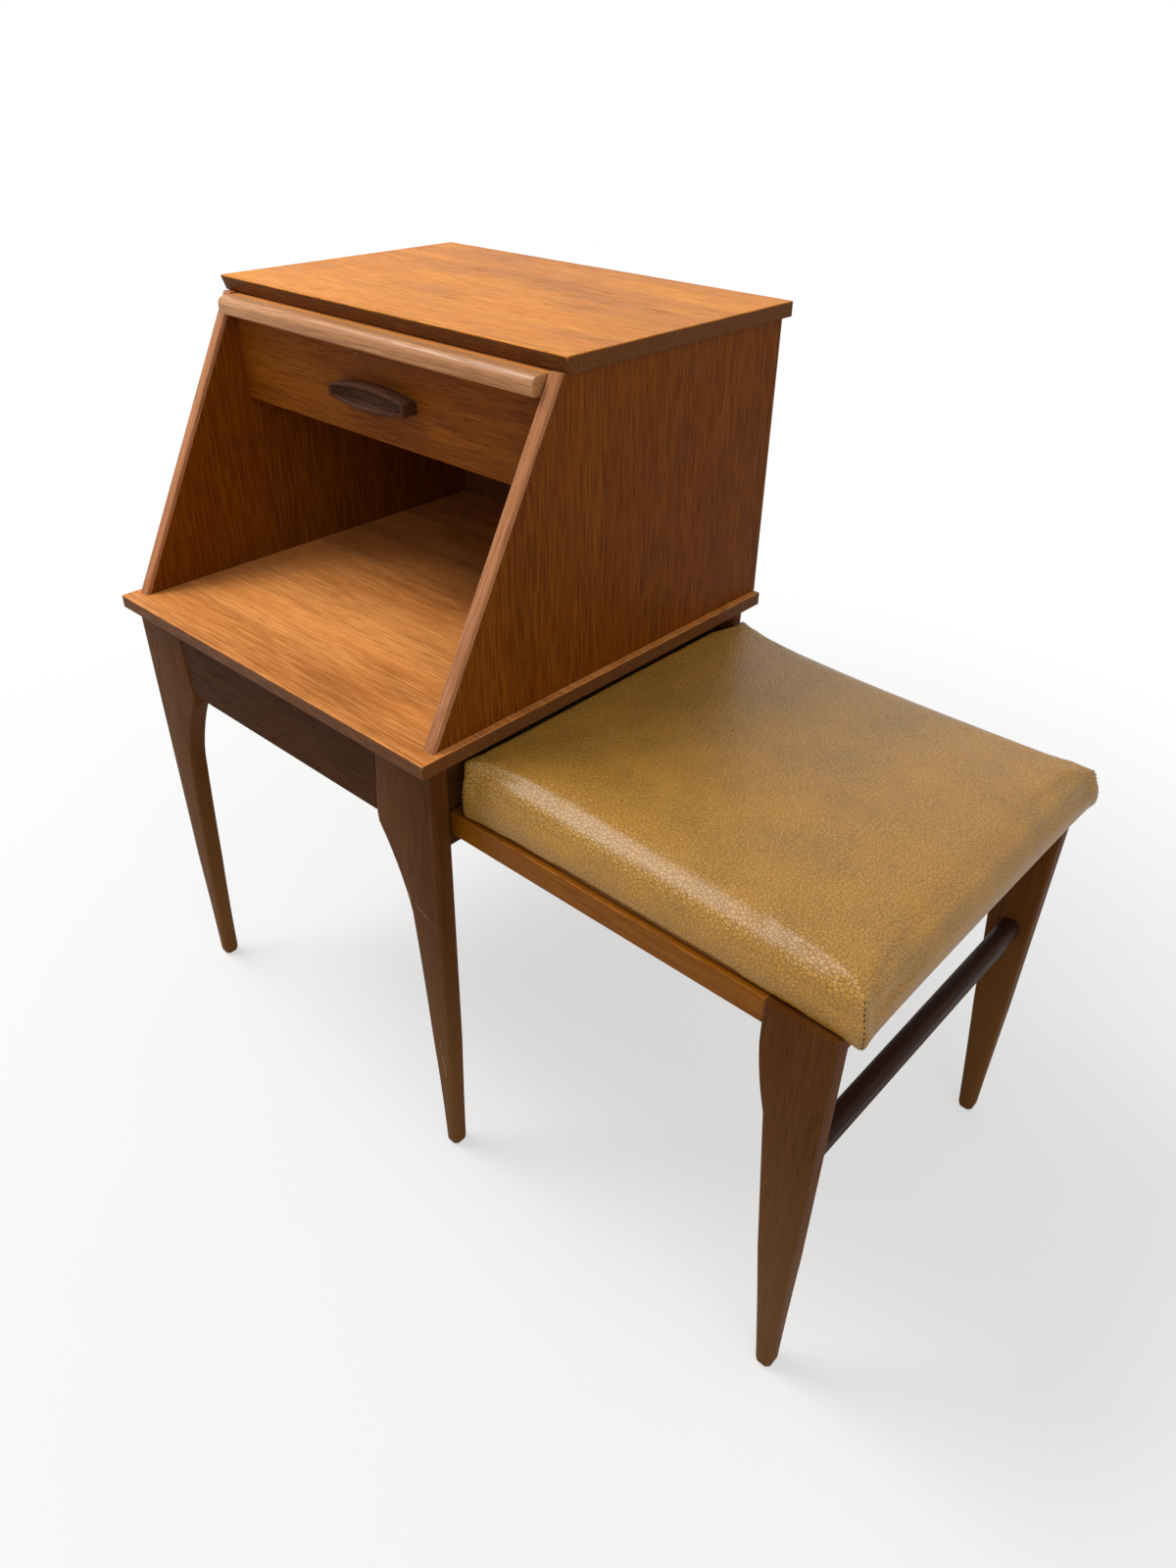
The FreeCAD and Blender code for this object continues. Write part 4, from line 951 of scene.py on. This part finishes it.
class BENCH_OT_wood_screws(Operator):
    """Turn one screw of each kind, and set copies of it where the frame has its screws"""

    bl_idname = "bench.wood_screws"
    bl_label = "Wood Screws"

    def execute(self, context):
        finish = self.steel(context)
        sizes = context.scene.bench_sizes
        for name in ("block_screws", "seat_screws"):
            places = self.screw_places(name)
            low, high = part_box(name)
            set_name = name.replace("screws", "screw") + "_set"
            first = turned_screw(set_name, (*places[0], low.z), high.z - low.z, sizes.screw_slot)
            copies = [
                copy_of(first, f"{name}_{number}", (x - places[0][0], y - places[0][1], 0.0))
                for number, (x, y) in enumerate(places[1:], 2)
            ]
            join(first, *copies)
            hand_over(first, finish, "bench", "screw_steel", name)
        finish_nodes(finish, "handle_screws")
        return {"FINISHED"}

    @staticmethod
    def screw_places(name):
        """The middle of each separate screw of a CAD node, seen from above."""
        found = []
        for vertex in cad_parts[name].data.vertices:
            near = next((group for group in found if (group[0] - vertex.co.xy).length < 12 * MM), None)
            if near is None:
                found.append([vertex.co.xy.copy(), vertex.co.xy.copy(), vertex.co.xy.copy()])
            else:
                near[1] = Vector(map(min, near[1], vertex.co.xy))
                near[2] = Vector(map(max, near[2], vertex.co.xy))
        return [tuple((low + high) / 2) for _, low, high in found]

    @staticmethod
    def steel(context):
        colour = tuple(context.scene.bench_colours.steel)
        finish = Finish("screw_steel_turned")
        place = finish.place()
        brushed = finish.noise(place, 900.0, 2.0)
        grime = finish.step(finish.noise(place, 240.0, 3.0), 0.45, 0.7)
        shown = finish.blend(brushed, shaded(colour, 0.8), shaded(colour, 1.15))
        shown = finish.blend(grime * 0.5, shown, tinted(colour, 0.45, 0.36, 0.28))
        roughness = 0.3 + grime * 0.3 + brushed * 0.1
        return finish.surface(shown, roughness, brushed, 0.05 * MM, strength=0.3, metallic=1.0)


# ---- the padded seat


CROWN_TO_SEAM = 8.5 * MM  # from the cushion's crown down to the top of its corner seams
FILLING_FRAMES = 20
# The roll of the front edge, tighter at the corners.
FRONT_ROLL, CORNER_ROLL, ROLL_FADE = 34 * MM, 18 * MM, 50 * MM
# The corners: how far their shaping reaches, how far they are drawn out and up, and over what widths.
CORNER_REACH = 45 * MM
CORNER_PULL, PULL_WIDTH = 3.2 * MM, 9 * MM
CORNER_LIFT, LIFT_WIDTH, PEAK_WIDTH = 1.0 * MM, 10 * MM, 9 * MM
SEAM_WIDTH, SEAM_REACH = 1.6 * MM, 12 * MM
# The hollow beside each front seam: its place beside and below the seam's top, its depth and its width.
PUCKER_BESIDE, PUCKER_BELOW, PUCKER_DEPTH, PUCKER_WIDTH = 8 * MM, 5 * MM, 1.5 * MM, 5 * MM
# The left end, which goes under the shelf: how far it is drawn out and lifted, and over what widths.
END_PULL, END_LIFT, END_WIDTH = 9.5 * MM, 4.0 * MM, 45 * MM
TOP_LIFT, TOP_WIDTH = 7.5 * MM, 120 * MM
RIM_LIFT, RIM_WIDTH = 6.0 * MM, 14 * MM
UPPER_FROM = 30 * MM
LEG_START, LEG_FADE = 50 * MM, 34 * MM
# How far the cover may stand over its CAD solid at the sides and under the shelf.
OVER_SIDES, UNDER_SHELF = 2.0 * MM, 6.0 * MM
BOARD_ROOM = 2.6 * MM  # room round the base board in the cushion's underside
# What holds the cover while it is filled: its foot, up to a height and fading out above it, and its seams.
HELD_FOOT, HELD_FADE, HELD_SEAM = 4 * MM, 5 * MM, 5 * MM
# A stitch, and how far from the cushion's crown and foot the rows of stitches end.
STITCH_RADIUS, STITCH_STRETCH, STITCH_SWELL, STITCH_LEAN = 0.5 * MM, 2.1, 1.25, math.radians(24)
STITCHES_BELOW, STITCHES_ABOVE = 12 * MM, 4 * MM


def seam_lines():
    """Each upright corner seam of the cushion: its place and the direction out of the corner."""
    low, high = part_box("seat_cushion")
    corners = []
    for x, out_x in ((low.x, -1.0), (high.x, 1.0)):
        for y, out_y in ((low.y, -1.0), (high.y, 1.0)):
            corners.append((x, y, Vector((out_x, out_y, 0.0)).normalized()))
    return corners


def hump(distance, width):
    """Falls smoothly from 1 at no distance towards 0 beyond the width."""
    return math.exp(-((distance / width) ** 2))


def between(value, least, most):
    """The value, held between two others."""
    return min(max(value, least), most)


def roll_front(place, low, high, corners):
    """Brings a point of the cover back onto the round front edge."""
    near = min(math.hypot(place.x - x, place.y - y) for x, y, _ in corners)
    roll = FRONT_ROLL - (FRONT_ROLL - CORNER_ROLL) * hump(near, ROLL_FADE)
    inward, upward = (low.y + roll - place.y) / roll, (place.z - high.z + roll) / roll
    over = math.hypot(inward, upward)
    if inward > 0.0 and upward > 0.0 and over > 1.0:
        place.y = low.y + roll - inward / over * roll
        place.z = high.z - roll + upward / over * roll


def draw_corner(place, corner, top, seam_depth):
    """Pulls a point near a corner out to the corner's tip, sinks the seam and puckers the cover beside it."""
    x, y, out = corner
    away = math.hypot(place.x - x, place.y - y)
    if away > CORNER_REACH:
        return
    peak = hump(place.z - top, PEAK_WIDTH)
    upright = 1.0 if place.z < top else peak
    place += out * CORNER_PULL * hump(away, PULL_WIDTH) * upright
    place.z += CORNER_LIFT * hump(away, LIFT_WIDTH) * peak
    off_seam = abs((place - Vector((x, y, place.z))).dot(Vector((out.y, -out.x, 0.0))))
    place -= out * seam_depth * hump(off_seam, SEAM_WIDTH) * upright * hump(away, SEAM_REACH)
    if out.y < 0.0:
        beside = math.hypot(off_seam - PUCKER_BESIDE, (place.z - top + PUCKER_BELOW) * 0.7)
        place -= Vector((out.x, out.y, 0.3)) * PUCKER_DEPTH * hump(beside, PUCKER_WIDTH)


def meet_shelf(place, low, high):
    """Draws the cover's left end out and up towards the shelf's edge, but not into the back leg."""
    upper = between((place.z - low.z) / UPPER_FROM, 0.0, 1.0)
    near_end = hump(place.x - low.x, END_WIDTH) * upper
    clear_of_leg = 1.0 - between((place.y - high.y + LEG_START) / LEG_FADE, 0.0, 1.0)
    place.x -= END_PULL * near_end * clear_of_leg
    from_end = place.x - low.x
    lift = TOP_LIFT * hump(from_end, TOP_WIDTH) + RIM_LIFT * hump(from_end, RIM_WIDTH)
    place.z += END_LIFT * near_end + lift * upper


class BENCH_OT_seat_cushion(Operator):
    """Sew the seat's cover, fill it, and stitch its corner seams"""

    bl_idname = "bench.seat_cushion"
    bl_label = "Seat Cushion"

    def execute(self, context):
        sizes = context.scene.bench_sizes
        cover = self.cut_cover(sizes)
        self.fill(context, cover, sizes)
        modify(cover, "SMOOTH", factor=0.5, iterations=5)
        modify(cover, "SUBSURF", levels=1, render_levels=1)
        self.shape_corners(cover, sizes)
        self.seat_on_base(cover)
        take_up(cover)
        bpy.ops.object.shade_smooth()
        hand_over(cover, self.vinyl(context), "bench", "seat_vinyl", "seat_cushion")
        stitches = self.stitch_seams(cover, sizes)
        hand_over(stitches, self.thread(context), "bench", "seat_vinyl")
        return {"FINISHED"}

    @staticmethod
    def cut_cover(sizes):
        """The cushion's form without the hollow for its base board, a little slack all round."""
        low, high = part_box("seat_cushion")
        base_low, base_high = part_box("seat_base")
        margin = Vector((1.0, 1.0, 0.0)) * MM
        plug = block("cushion_plug", base_low - margin, base_high + margin + Vector((0.0, 0.0, 1.0 * MM)))
        clear_bench()
        cover = bpy.data.objects.new("seat_cushion_cover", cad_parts["seat_cushion"].data.copy())
        bpy.context.scene.collection.objects.link(cover)
        take_up(cover)
        bpy.ops.object.mode_set(mode="EDIT")
        take_all()
        bpy.ops.mesh.remove_doubles(threshold=0.01 * MM)
        put_down()
        join(cover, plug)
        modify(cover, "REMESH", mode="VOXEL", voxel_size=sizes.cushion_cell)
        middle, half = (low + high) / 2, (high - low) / 2
        for vertex in cover.data.vertices:
            place = vertex.co
            x_share, y_share = (place.x - middle.x) / half.x, (place.y - middle.y) / half.y
            # The slack is widest at the middle of each side and of the crown, and there is none at the corners.
            off_x_ends, off_y_ends = 1.0 - x_share**4, 1.0 - y_share**4
            rise = max(0.0, (place.z - low.z) / (high.z - low.z))
            place.x -= x_share**5 * off_y_ends * sizes.cushion_slack
            place.y -= y_share**5 * off_x_ends * sizes.cushion_slack
            place.z -= rise**3 * off_x_ends * off_y_ends * sizes.cushion_slack
        return cover

    @staticmethod
    def fill(context, cover, sizes):
        """Swells the cover by a cloth simulation, with its foot and its corner seams held."""
        low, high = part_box("seat_cushion")
        start = [vertex.co.copy() for vertex in cover.data.vertices]
        held = cover.vertex_groups.new(name="held")
        corners = seam_lines()
        for vertex in cover.data.vertices:
            foot = hump(max(0.0, vertex.co.z - low.z - HELD_FOOT), HELD_FADE)
            seam = max(hump(math.hypot(vertex.co.x - x, vertex.co.y - y), HELD_SEAM) for x, y, _ in corners)
            held.add([vertex.index], max(foot, seam), "REPLACE")
        take_up(cover)
        cloth = cover.modifiers.new("filling", "CLOTH")
        cloth.settings.quality = 6
        cloth.settings.vertex_group_mass = held.name
        cloth.settings.use_pressure = True
        cloth.settings.uniform_pressure_force = sizes.cushion_pressure
        cloth.settings.effector_weights.gravity = 0.0
        cloth.point_cache.frame_start, cloth.point_cache.frame_end = 1, FILLING_FRAMES
        for frame_number in range(1, FILLING_FRAMES + 1):
            context.scene.frame_set(frame_number)
        bpy.ops.object.modifier_apply(modifier=cloth.name)
        context.scene.frame_set(1)
        for vertex, before in zip(cover.data.vertices, start):
            move = vertex.co - before
            if move.length > sizes.cushion_reach:
                vertex.co = before + move * (sizes.cushion_reach / move.length)

    @staticmethod
    def shape_corners(cover, sizes):
        """Rounds the front edge, draws the corners out and takes the left end up to the shelf."""
        low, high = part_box("seat_cushion")
        corners = seam_lines()
        for vertex in cover.data.vertices:
            place = vertex.co
            roll_front(place, low, high, corners)
            for corner in corners:
                draw_corner(place, corner, high.z - CROWN_TO_SEAM, sizes.seam_depth)
            place.x = between(place.x, low.x + 0.2 * MM, high.x + OVER_SIDES)
            meet_shelf(place, low, high)
            place.y = between(place.y, low.y - OVER_SIDES, high.y + OVER_SIDES)
            place.z = between(place.z, low.z + 0.1 * MM, high.z + UNDER_SHELF)

    @staticmethod
    def seat_on_base(cover):
        """Makes room in the cushion's underside for its base board."""
        room = Vector((1.0, 1.0, 0.0)) * BOARD_ROOM
        low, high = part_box("seat_base")
        low, high = low - room, high + room
        for vertex in cover.data.vertices:
            place = vertex.co
            if low.x < place.x < high.x and low.y < place.y < high.y and place.z < high.z + 1.0 * MM:
                place.z = high.z + 0.4 * MM

    @staticmethod
    def stitch_seams(cover, sizes):
        """Short slanted stitches down the corner seams, modelled once and copied."""
        low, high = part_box("seat_cushion")
        top, bottom = high.z - STITCHES_BELOW, low.z + STITCHES_ABOVE
        clear_bench()
        bpy.ops.mesh.primitive_uv_sphere_add(segments=10, ring_count=6, radius=STITCH_RADIUS, location=ORIGIN)
        stitch = into_edit("corner_stitches")
        take_all()
        resize((1.0, 1.0, STITCH_STRETCH), ORIGIN)
        pick(stitch, "VERT", lambda vertex: abs(vertex.co.z) < 1.2 * STITCH_RADIUS)
        resize((STITCH_SWELL, STITCH_SWELL, 1.0), ORIGIN)
        take_all()
        bpy.ops.transform.rotate(value=STITCH_LEAN, orient_axis="X", center_override=ORIGIN)
        put_down()
        row = []
        for x, y, out in seam_lines():
            count = int((top - bottom) / sizes.stitch_pitch)
            for number in range(count + 1):
                height = bottom + (top - bottom) * number / count
                met, middle, _, _ = cover.ray_cast(Vector((x, y, height)) + out * 50 * MM, -out)
                if not met:
                    raise RuntimeError("a stitch misses the cushion's corner")
                row.append(copy_of(stitch, f"stitch_{len(row)}", middle))
        take_up(stitch)
        bpy.ops.object.mode_set(mode="EDIT")
        take_all()
        bpy.ops.mesh.delete(type="VERT")
        put_down()
        join(stitch, *row)
        smooth(stitch, 60)
        return stitch

    @staticmethod
    def thread(context):
        colour = tuple(context.scene.bench_colours.thread)
        finish = Finish("seam_thread")
        twist = finish.noise(finish.place(), 2400.0, 1.0)
        shown = finish.blend(twist, shaded(colour, 0.6), shaded(colour, 1.6))
        return finish.surface(shown, 0.7 + twist * 0.2, twist, 0.2 * MM)

    @staticmethod
    def vinyl(context):
        """Mustard vinyl: pebbled grain, fine creases that open on the rolls and a soft cloudy tone, with a painted
        highlight along the front roll and painted shade in the creases and towards the foot.
        """
        colour = tuple(context.scene.bench_colours.vinyl)
        low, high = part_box("seat_cushion")
        finish = Finish("seat_vinyl_pebbled")
        place = finish.place()
        x, y, z = finish.parts(place)
        shove = finish.noise(place, 190.0, 2.0)
        bent = finish.vector(x + shove * 1.6 * MM, y - shove * 1.6 * MM, z + shove * 1.2 * MM)
        pebbles = finish.cells(bent, 560.0)
        creases = finish.cells(bent, 310.0, "DISTANCE_TO_EDGE")
        crease_lines = finish.step(creases, 0.09, 0.0)
        cloud = finish.noise(place, 22.0, 4.0, 0.6)
        speckle = finish.noise(place, 700.0, 2.0)
        frontmost = finish.step(y, low.y + 34 * MM, low.y + 12 * MM)
        on_roll = frontmost * finish.step(z, high.z - 24 * MM, high.z - 10 * MM)
        # The pebbles' valleys are painted a little darker, as shade in them.
        shown = finish.ramp(
            0.5 + (cloud - 0.5) * 0.9 + (speckle - 0.5) * 1.1 + (pebbles - 0.35) * -0.35,
            [
                (0.15, tinted(colour, 0.66, 0.68, 0.60)),
                (0.45, tinted(colour, 0.95, 0.95, 0.90)),
                (0.62, colour),
                (0.9, tinted(colour, 1.18, 1.20, 1.35)),
            ],
        )
        # A painted highlight: paler and cooler along the top of the front roll.
        shown = finish.blend(on_roll * 0.35, shown, tinted(colour, 1.15, 1.25, 1.6))
        # Painted shade in the creases: the crease lines darker, most on the front roll.
        shown = finish.blend(crease_lines * (0.20 + on_roll * 0.2), shown, tinted(colour, 0.55, 0.5, 0.45))
        # Painted shade: darker and more olive down the cushion's front and sides towards its foot.
        foot = finish.step(z, high.z - 14 * MM, low.z + 2 * MM)
        shown = finish.blend(foot * 0.6, shown, tinted(colour, 0.6, 0.56, 0.42))
        shown = spot(finish, shown, (0.187, -0.058, high.z), 1.4 * MM, tinted(colour, 0.2, 0.18, 0.15), 0.8)
        speck = (high.x - 3 * MM, low.y + 16 * MM, high.z - 10 * MM)
        shown = spot(finish, shown, speck, 1.6 * MM, (0.8, 0.76, 0.66), 0.8)
        roughness = 0.33 + (cloud - 0.5) * 0.2 + pebbles * 0.10 + crease_lines * 0.15
        height = pebbles * -0.6 - crease_lines * (0.4 + on_roll * 0.35) + speckle * 0.25
        gloss = {"specular_ior_level": 0.35, "coat_weight": 0.42, "coat_roughness": 0.28}
        return finish.surface(shown, roughness, height, 1.1 * MM, strength=0.9, **gloss)


# ---- the studio


FLOOR_RADIUS = 9.0
# The share of plain white the camera sees in the floor near the bench, and where the floor turns all white.
NEAR_WHITE, WHITE_FROM, WHITE_TO = 0.55, 0.55, 1.25


class BENCH_OT_studio(Operator):
    """Lay a pale floor, hang soft lights and set up the camera"""

    bl_idname = "bench.studio"
    bl_label = "Studio"

    def execute(self, context):
        stage = context.scene.bench_stage
        self.floor(stage)
        self.lights(stage)
        self.surroundings(context.scene, stage)
        self.camera(context.scene, stage)
        context.scene.view_settings.view_transform = "Standard"
        return {"FINISHED"}

    @staticmethod
    def floor(stage):
        """A pale floor that turns to plain white well away from the bench."""
        clear_bench()
        middle = (0.0, 0.0, CAD_BOX[0].z)
        bpy.ops.mesh.primitive_circle_add(vertices=96, radius=FLOOR_RADIUS, fill_type="NGON", location=middle)
        floor = into_edit("studio_floor")
        put_down()
        colour = tuple(stage.floor_tone)
        finish = Finish("studio_floor")
        place = finish.place()
        mottle = finish.noise(place, 3.0, 3.0)
        shown = finish.blend(mottle, shaded(colour, 0.985), shaded(colour, 1.015))
        finish.surface(shown, 0.85, finish.noise(place, 220.0, 2.0), 0.1 * MM, strength=0.15)
        far = finish.node("ShaderNodeVectorMath", {"operation": "LENGTH"}, {0: place}, "Value")
        seen = finish.node("ShaderNodeLightPath", {}, {}, "Is Camera Ray")
        white = finish.node("ShaderNodeEmission", {}, {"Color": WHITE, "Strength": 1.0})
        matt = Shade(finish, finish.shader.outputs["BSDF"])
        whiteness = (NEAR_WHITE + finish.step(far, WHITE_FROM, WHITE_TO) * (1.0 - NEAR_WHITE)) * seen
        both = finish.node("ShaderNodeMixShader", {}, {0: whiteness, 1: matt, 2: white})
        finish.feed(finish.tree.nodes["Material Output"].inputs["Surface"], both)
        floor.data.materials.append(finish.material)

    @staticmethod
    def lights(stage):
        """Two soft boxes: the key above on the left, and a weaker one on the right."""
        target = Vector((0.0, 0.0, 0.4))
        for name, away, power, size in (
            ("key_softbox", Vector((-1.25, -0.60, 2.2)), stage.key_light, 1.3),
            ("fill_softbox", Vector((2.3, -1.3, 1.2)), stage.fill_light, 1.8),
        ):
            clear_bench()
            bpy.ops.object.light_add(type="AREA", location=target + away)
            lamp = bpy.context.object
            lamp.name = lamp.data.name = name
            lamp.rotation_euler = away.to_track_quat("Z", "Y").to_euler()
            lamp.data.shape = "SQUARE"
            lamp.data.size = size
            lamp.data.energy = power

    @staticmethod
    def surroundings(scene, stage):
        """Even light all round, seen as plain white."""
        scene.world = bpy.data.worlds.new("studio_surroundings")
        scene.world.use_nodes = True
        sky = Pattern(scene.world.node_tree)
        even = sky.tree.nodes["Background"]
        sky.feed(even.inputs["Color"], WHITE)
        sky.feed(even.inputs["Strength"], stage.sky_light)
        white = sky.node("ShaderNodeBackground", {}, {"Color": WHITE})
        seen = sky.node("ShaderNodeLightPath", {}, {}, "Is Camera Ray")
        rays = seen.socket.node.outputs
        for name in ("Is Glossy Ray", "Is Transmission Ray"):
            seen = seen.most(Shade(sky, rays[name]))
        both = sky.node("ShaderNodeMixShader", {}, {0: seen, 1: Shade(sky, even.outputs[0]), 2: white})
        sky.feed(sky.tree.nodes["World Output"].inputs["Surface"], both)

    @staticmethod
    def camera(scene, stage):
        clear_bench()
        bpy.ops.object.camera_add(location=stage.camera_place)
        camera = bpy.context.object
        camera.name = camera.data.name = "bench_camera"
        turn = (
            Matrix.Rotation(stage.camera_turn, 3, "Z")
            @ Matrix.Rotation(QUARTER - stage.camera_tilt, 3, "X")
            @ Matrix.Rotation(stage.camera_roll, 3, "Z")
        )
        camera.rotation_euler = turn.to_euler()
        camera.data.sensor_fit = "AUTO"
        camera.data.sensor_width = 36.0
        camera.data.lens = stage.camera_lens
        camera.data.clip_start = 0.02
        scene.camera = camera


# ---- the add-on

STEPS = (
    BENCH_OT_studio,
    BENCH_OT_cabinet_boards,
    BENCH_OT_drawer_front,
    BENCH_OT_drawer_pull,
    BENCH_OT_writing_slide,
    BENCH_OT_cabinet_legs,
    BENCH_OT_seat_legs,
    BENCH_OT_frame_rails,
    BENCH_OT_hidden_timber,
    BENCH_OT_wood_screws,
    BENCH_OT_seat_cushion,
)


class BENCH_PT_panel(Panel):
    """The bench's pieces, sizes and colours in the sidebar."""

    bl_idname = "BENCH_PT_panel"
    bl_label = "Telephone Bench"
    bl_space_type = "VIEW_3D"
    bl_region_type = "UI"
    bl_category = "Telephone Bench"

    def draw(self, context):
        for step in STEPS:
            self.layout.operator(step.bl_idname)
        for group in (context.scene.bench_sizes, context.scene.bench_colours, context.scene.bench_stage):
            box = self.layout.box()
            for name in group.bl_rna.properties.keys():
                if name not in ("rna_type", "name"):
                    box.prop(group, name)


CLASSES = (BenchSizes, BenchColours, BenchStage, *STEPS, BENCH_PT_panel)


def register():
    for entry in CLASSES:
        bpy.utils.register_class(entry)
    bpy.types.Scene.bench_sizes = PointerProperty(type=BenchSizes)
    bpy.types.Scene.bench_colours = PointerProperty(type=BenchColours)
    bpy.types.Scene.bench_stage = PointerProperty(type=BenchStage)


def unregister():
    del bpy.types.Scene.bench_stage
    del bpy.types.Scene.bench_colours
    del bpy.types.Scene.bench_sizes
    for entry in reversed(CLASSES):
        bpy.utils.unregister_class(entry)


def main():
    register()
    for step in STEPS:
        group, action = step.bl_idname.split(".")
        getattr(getattr(bpy.ops, group), action)()
    clear_bench()


if __name__ == "__main__":
    main()
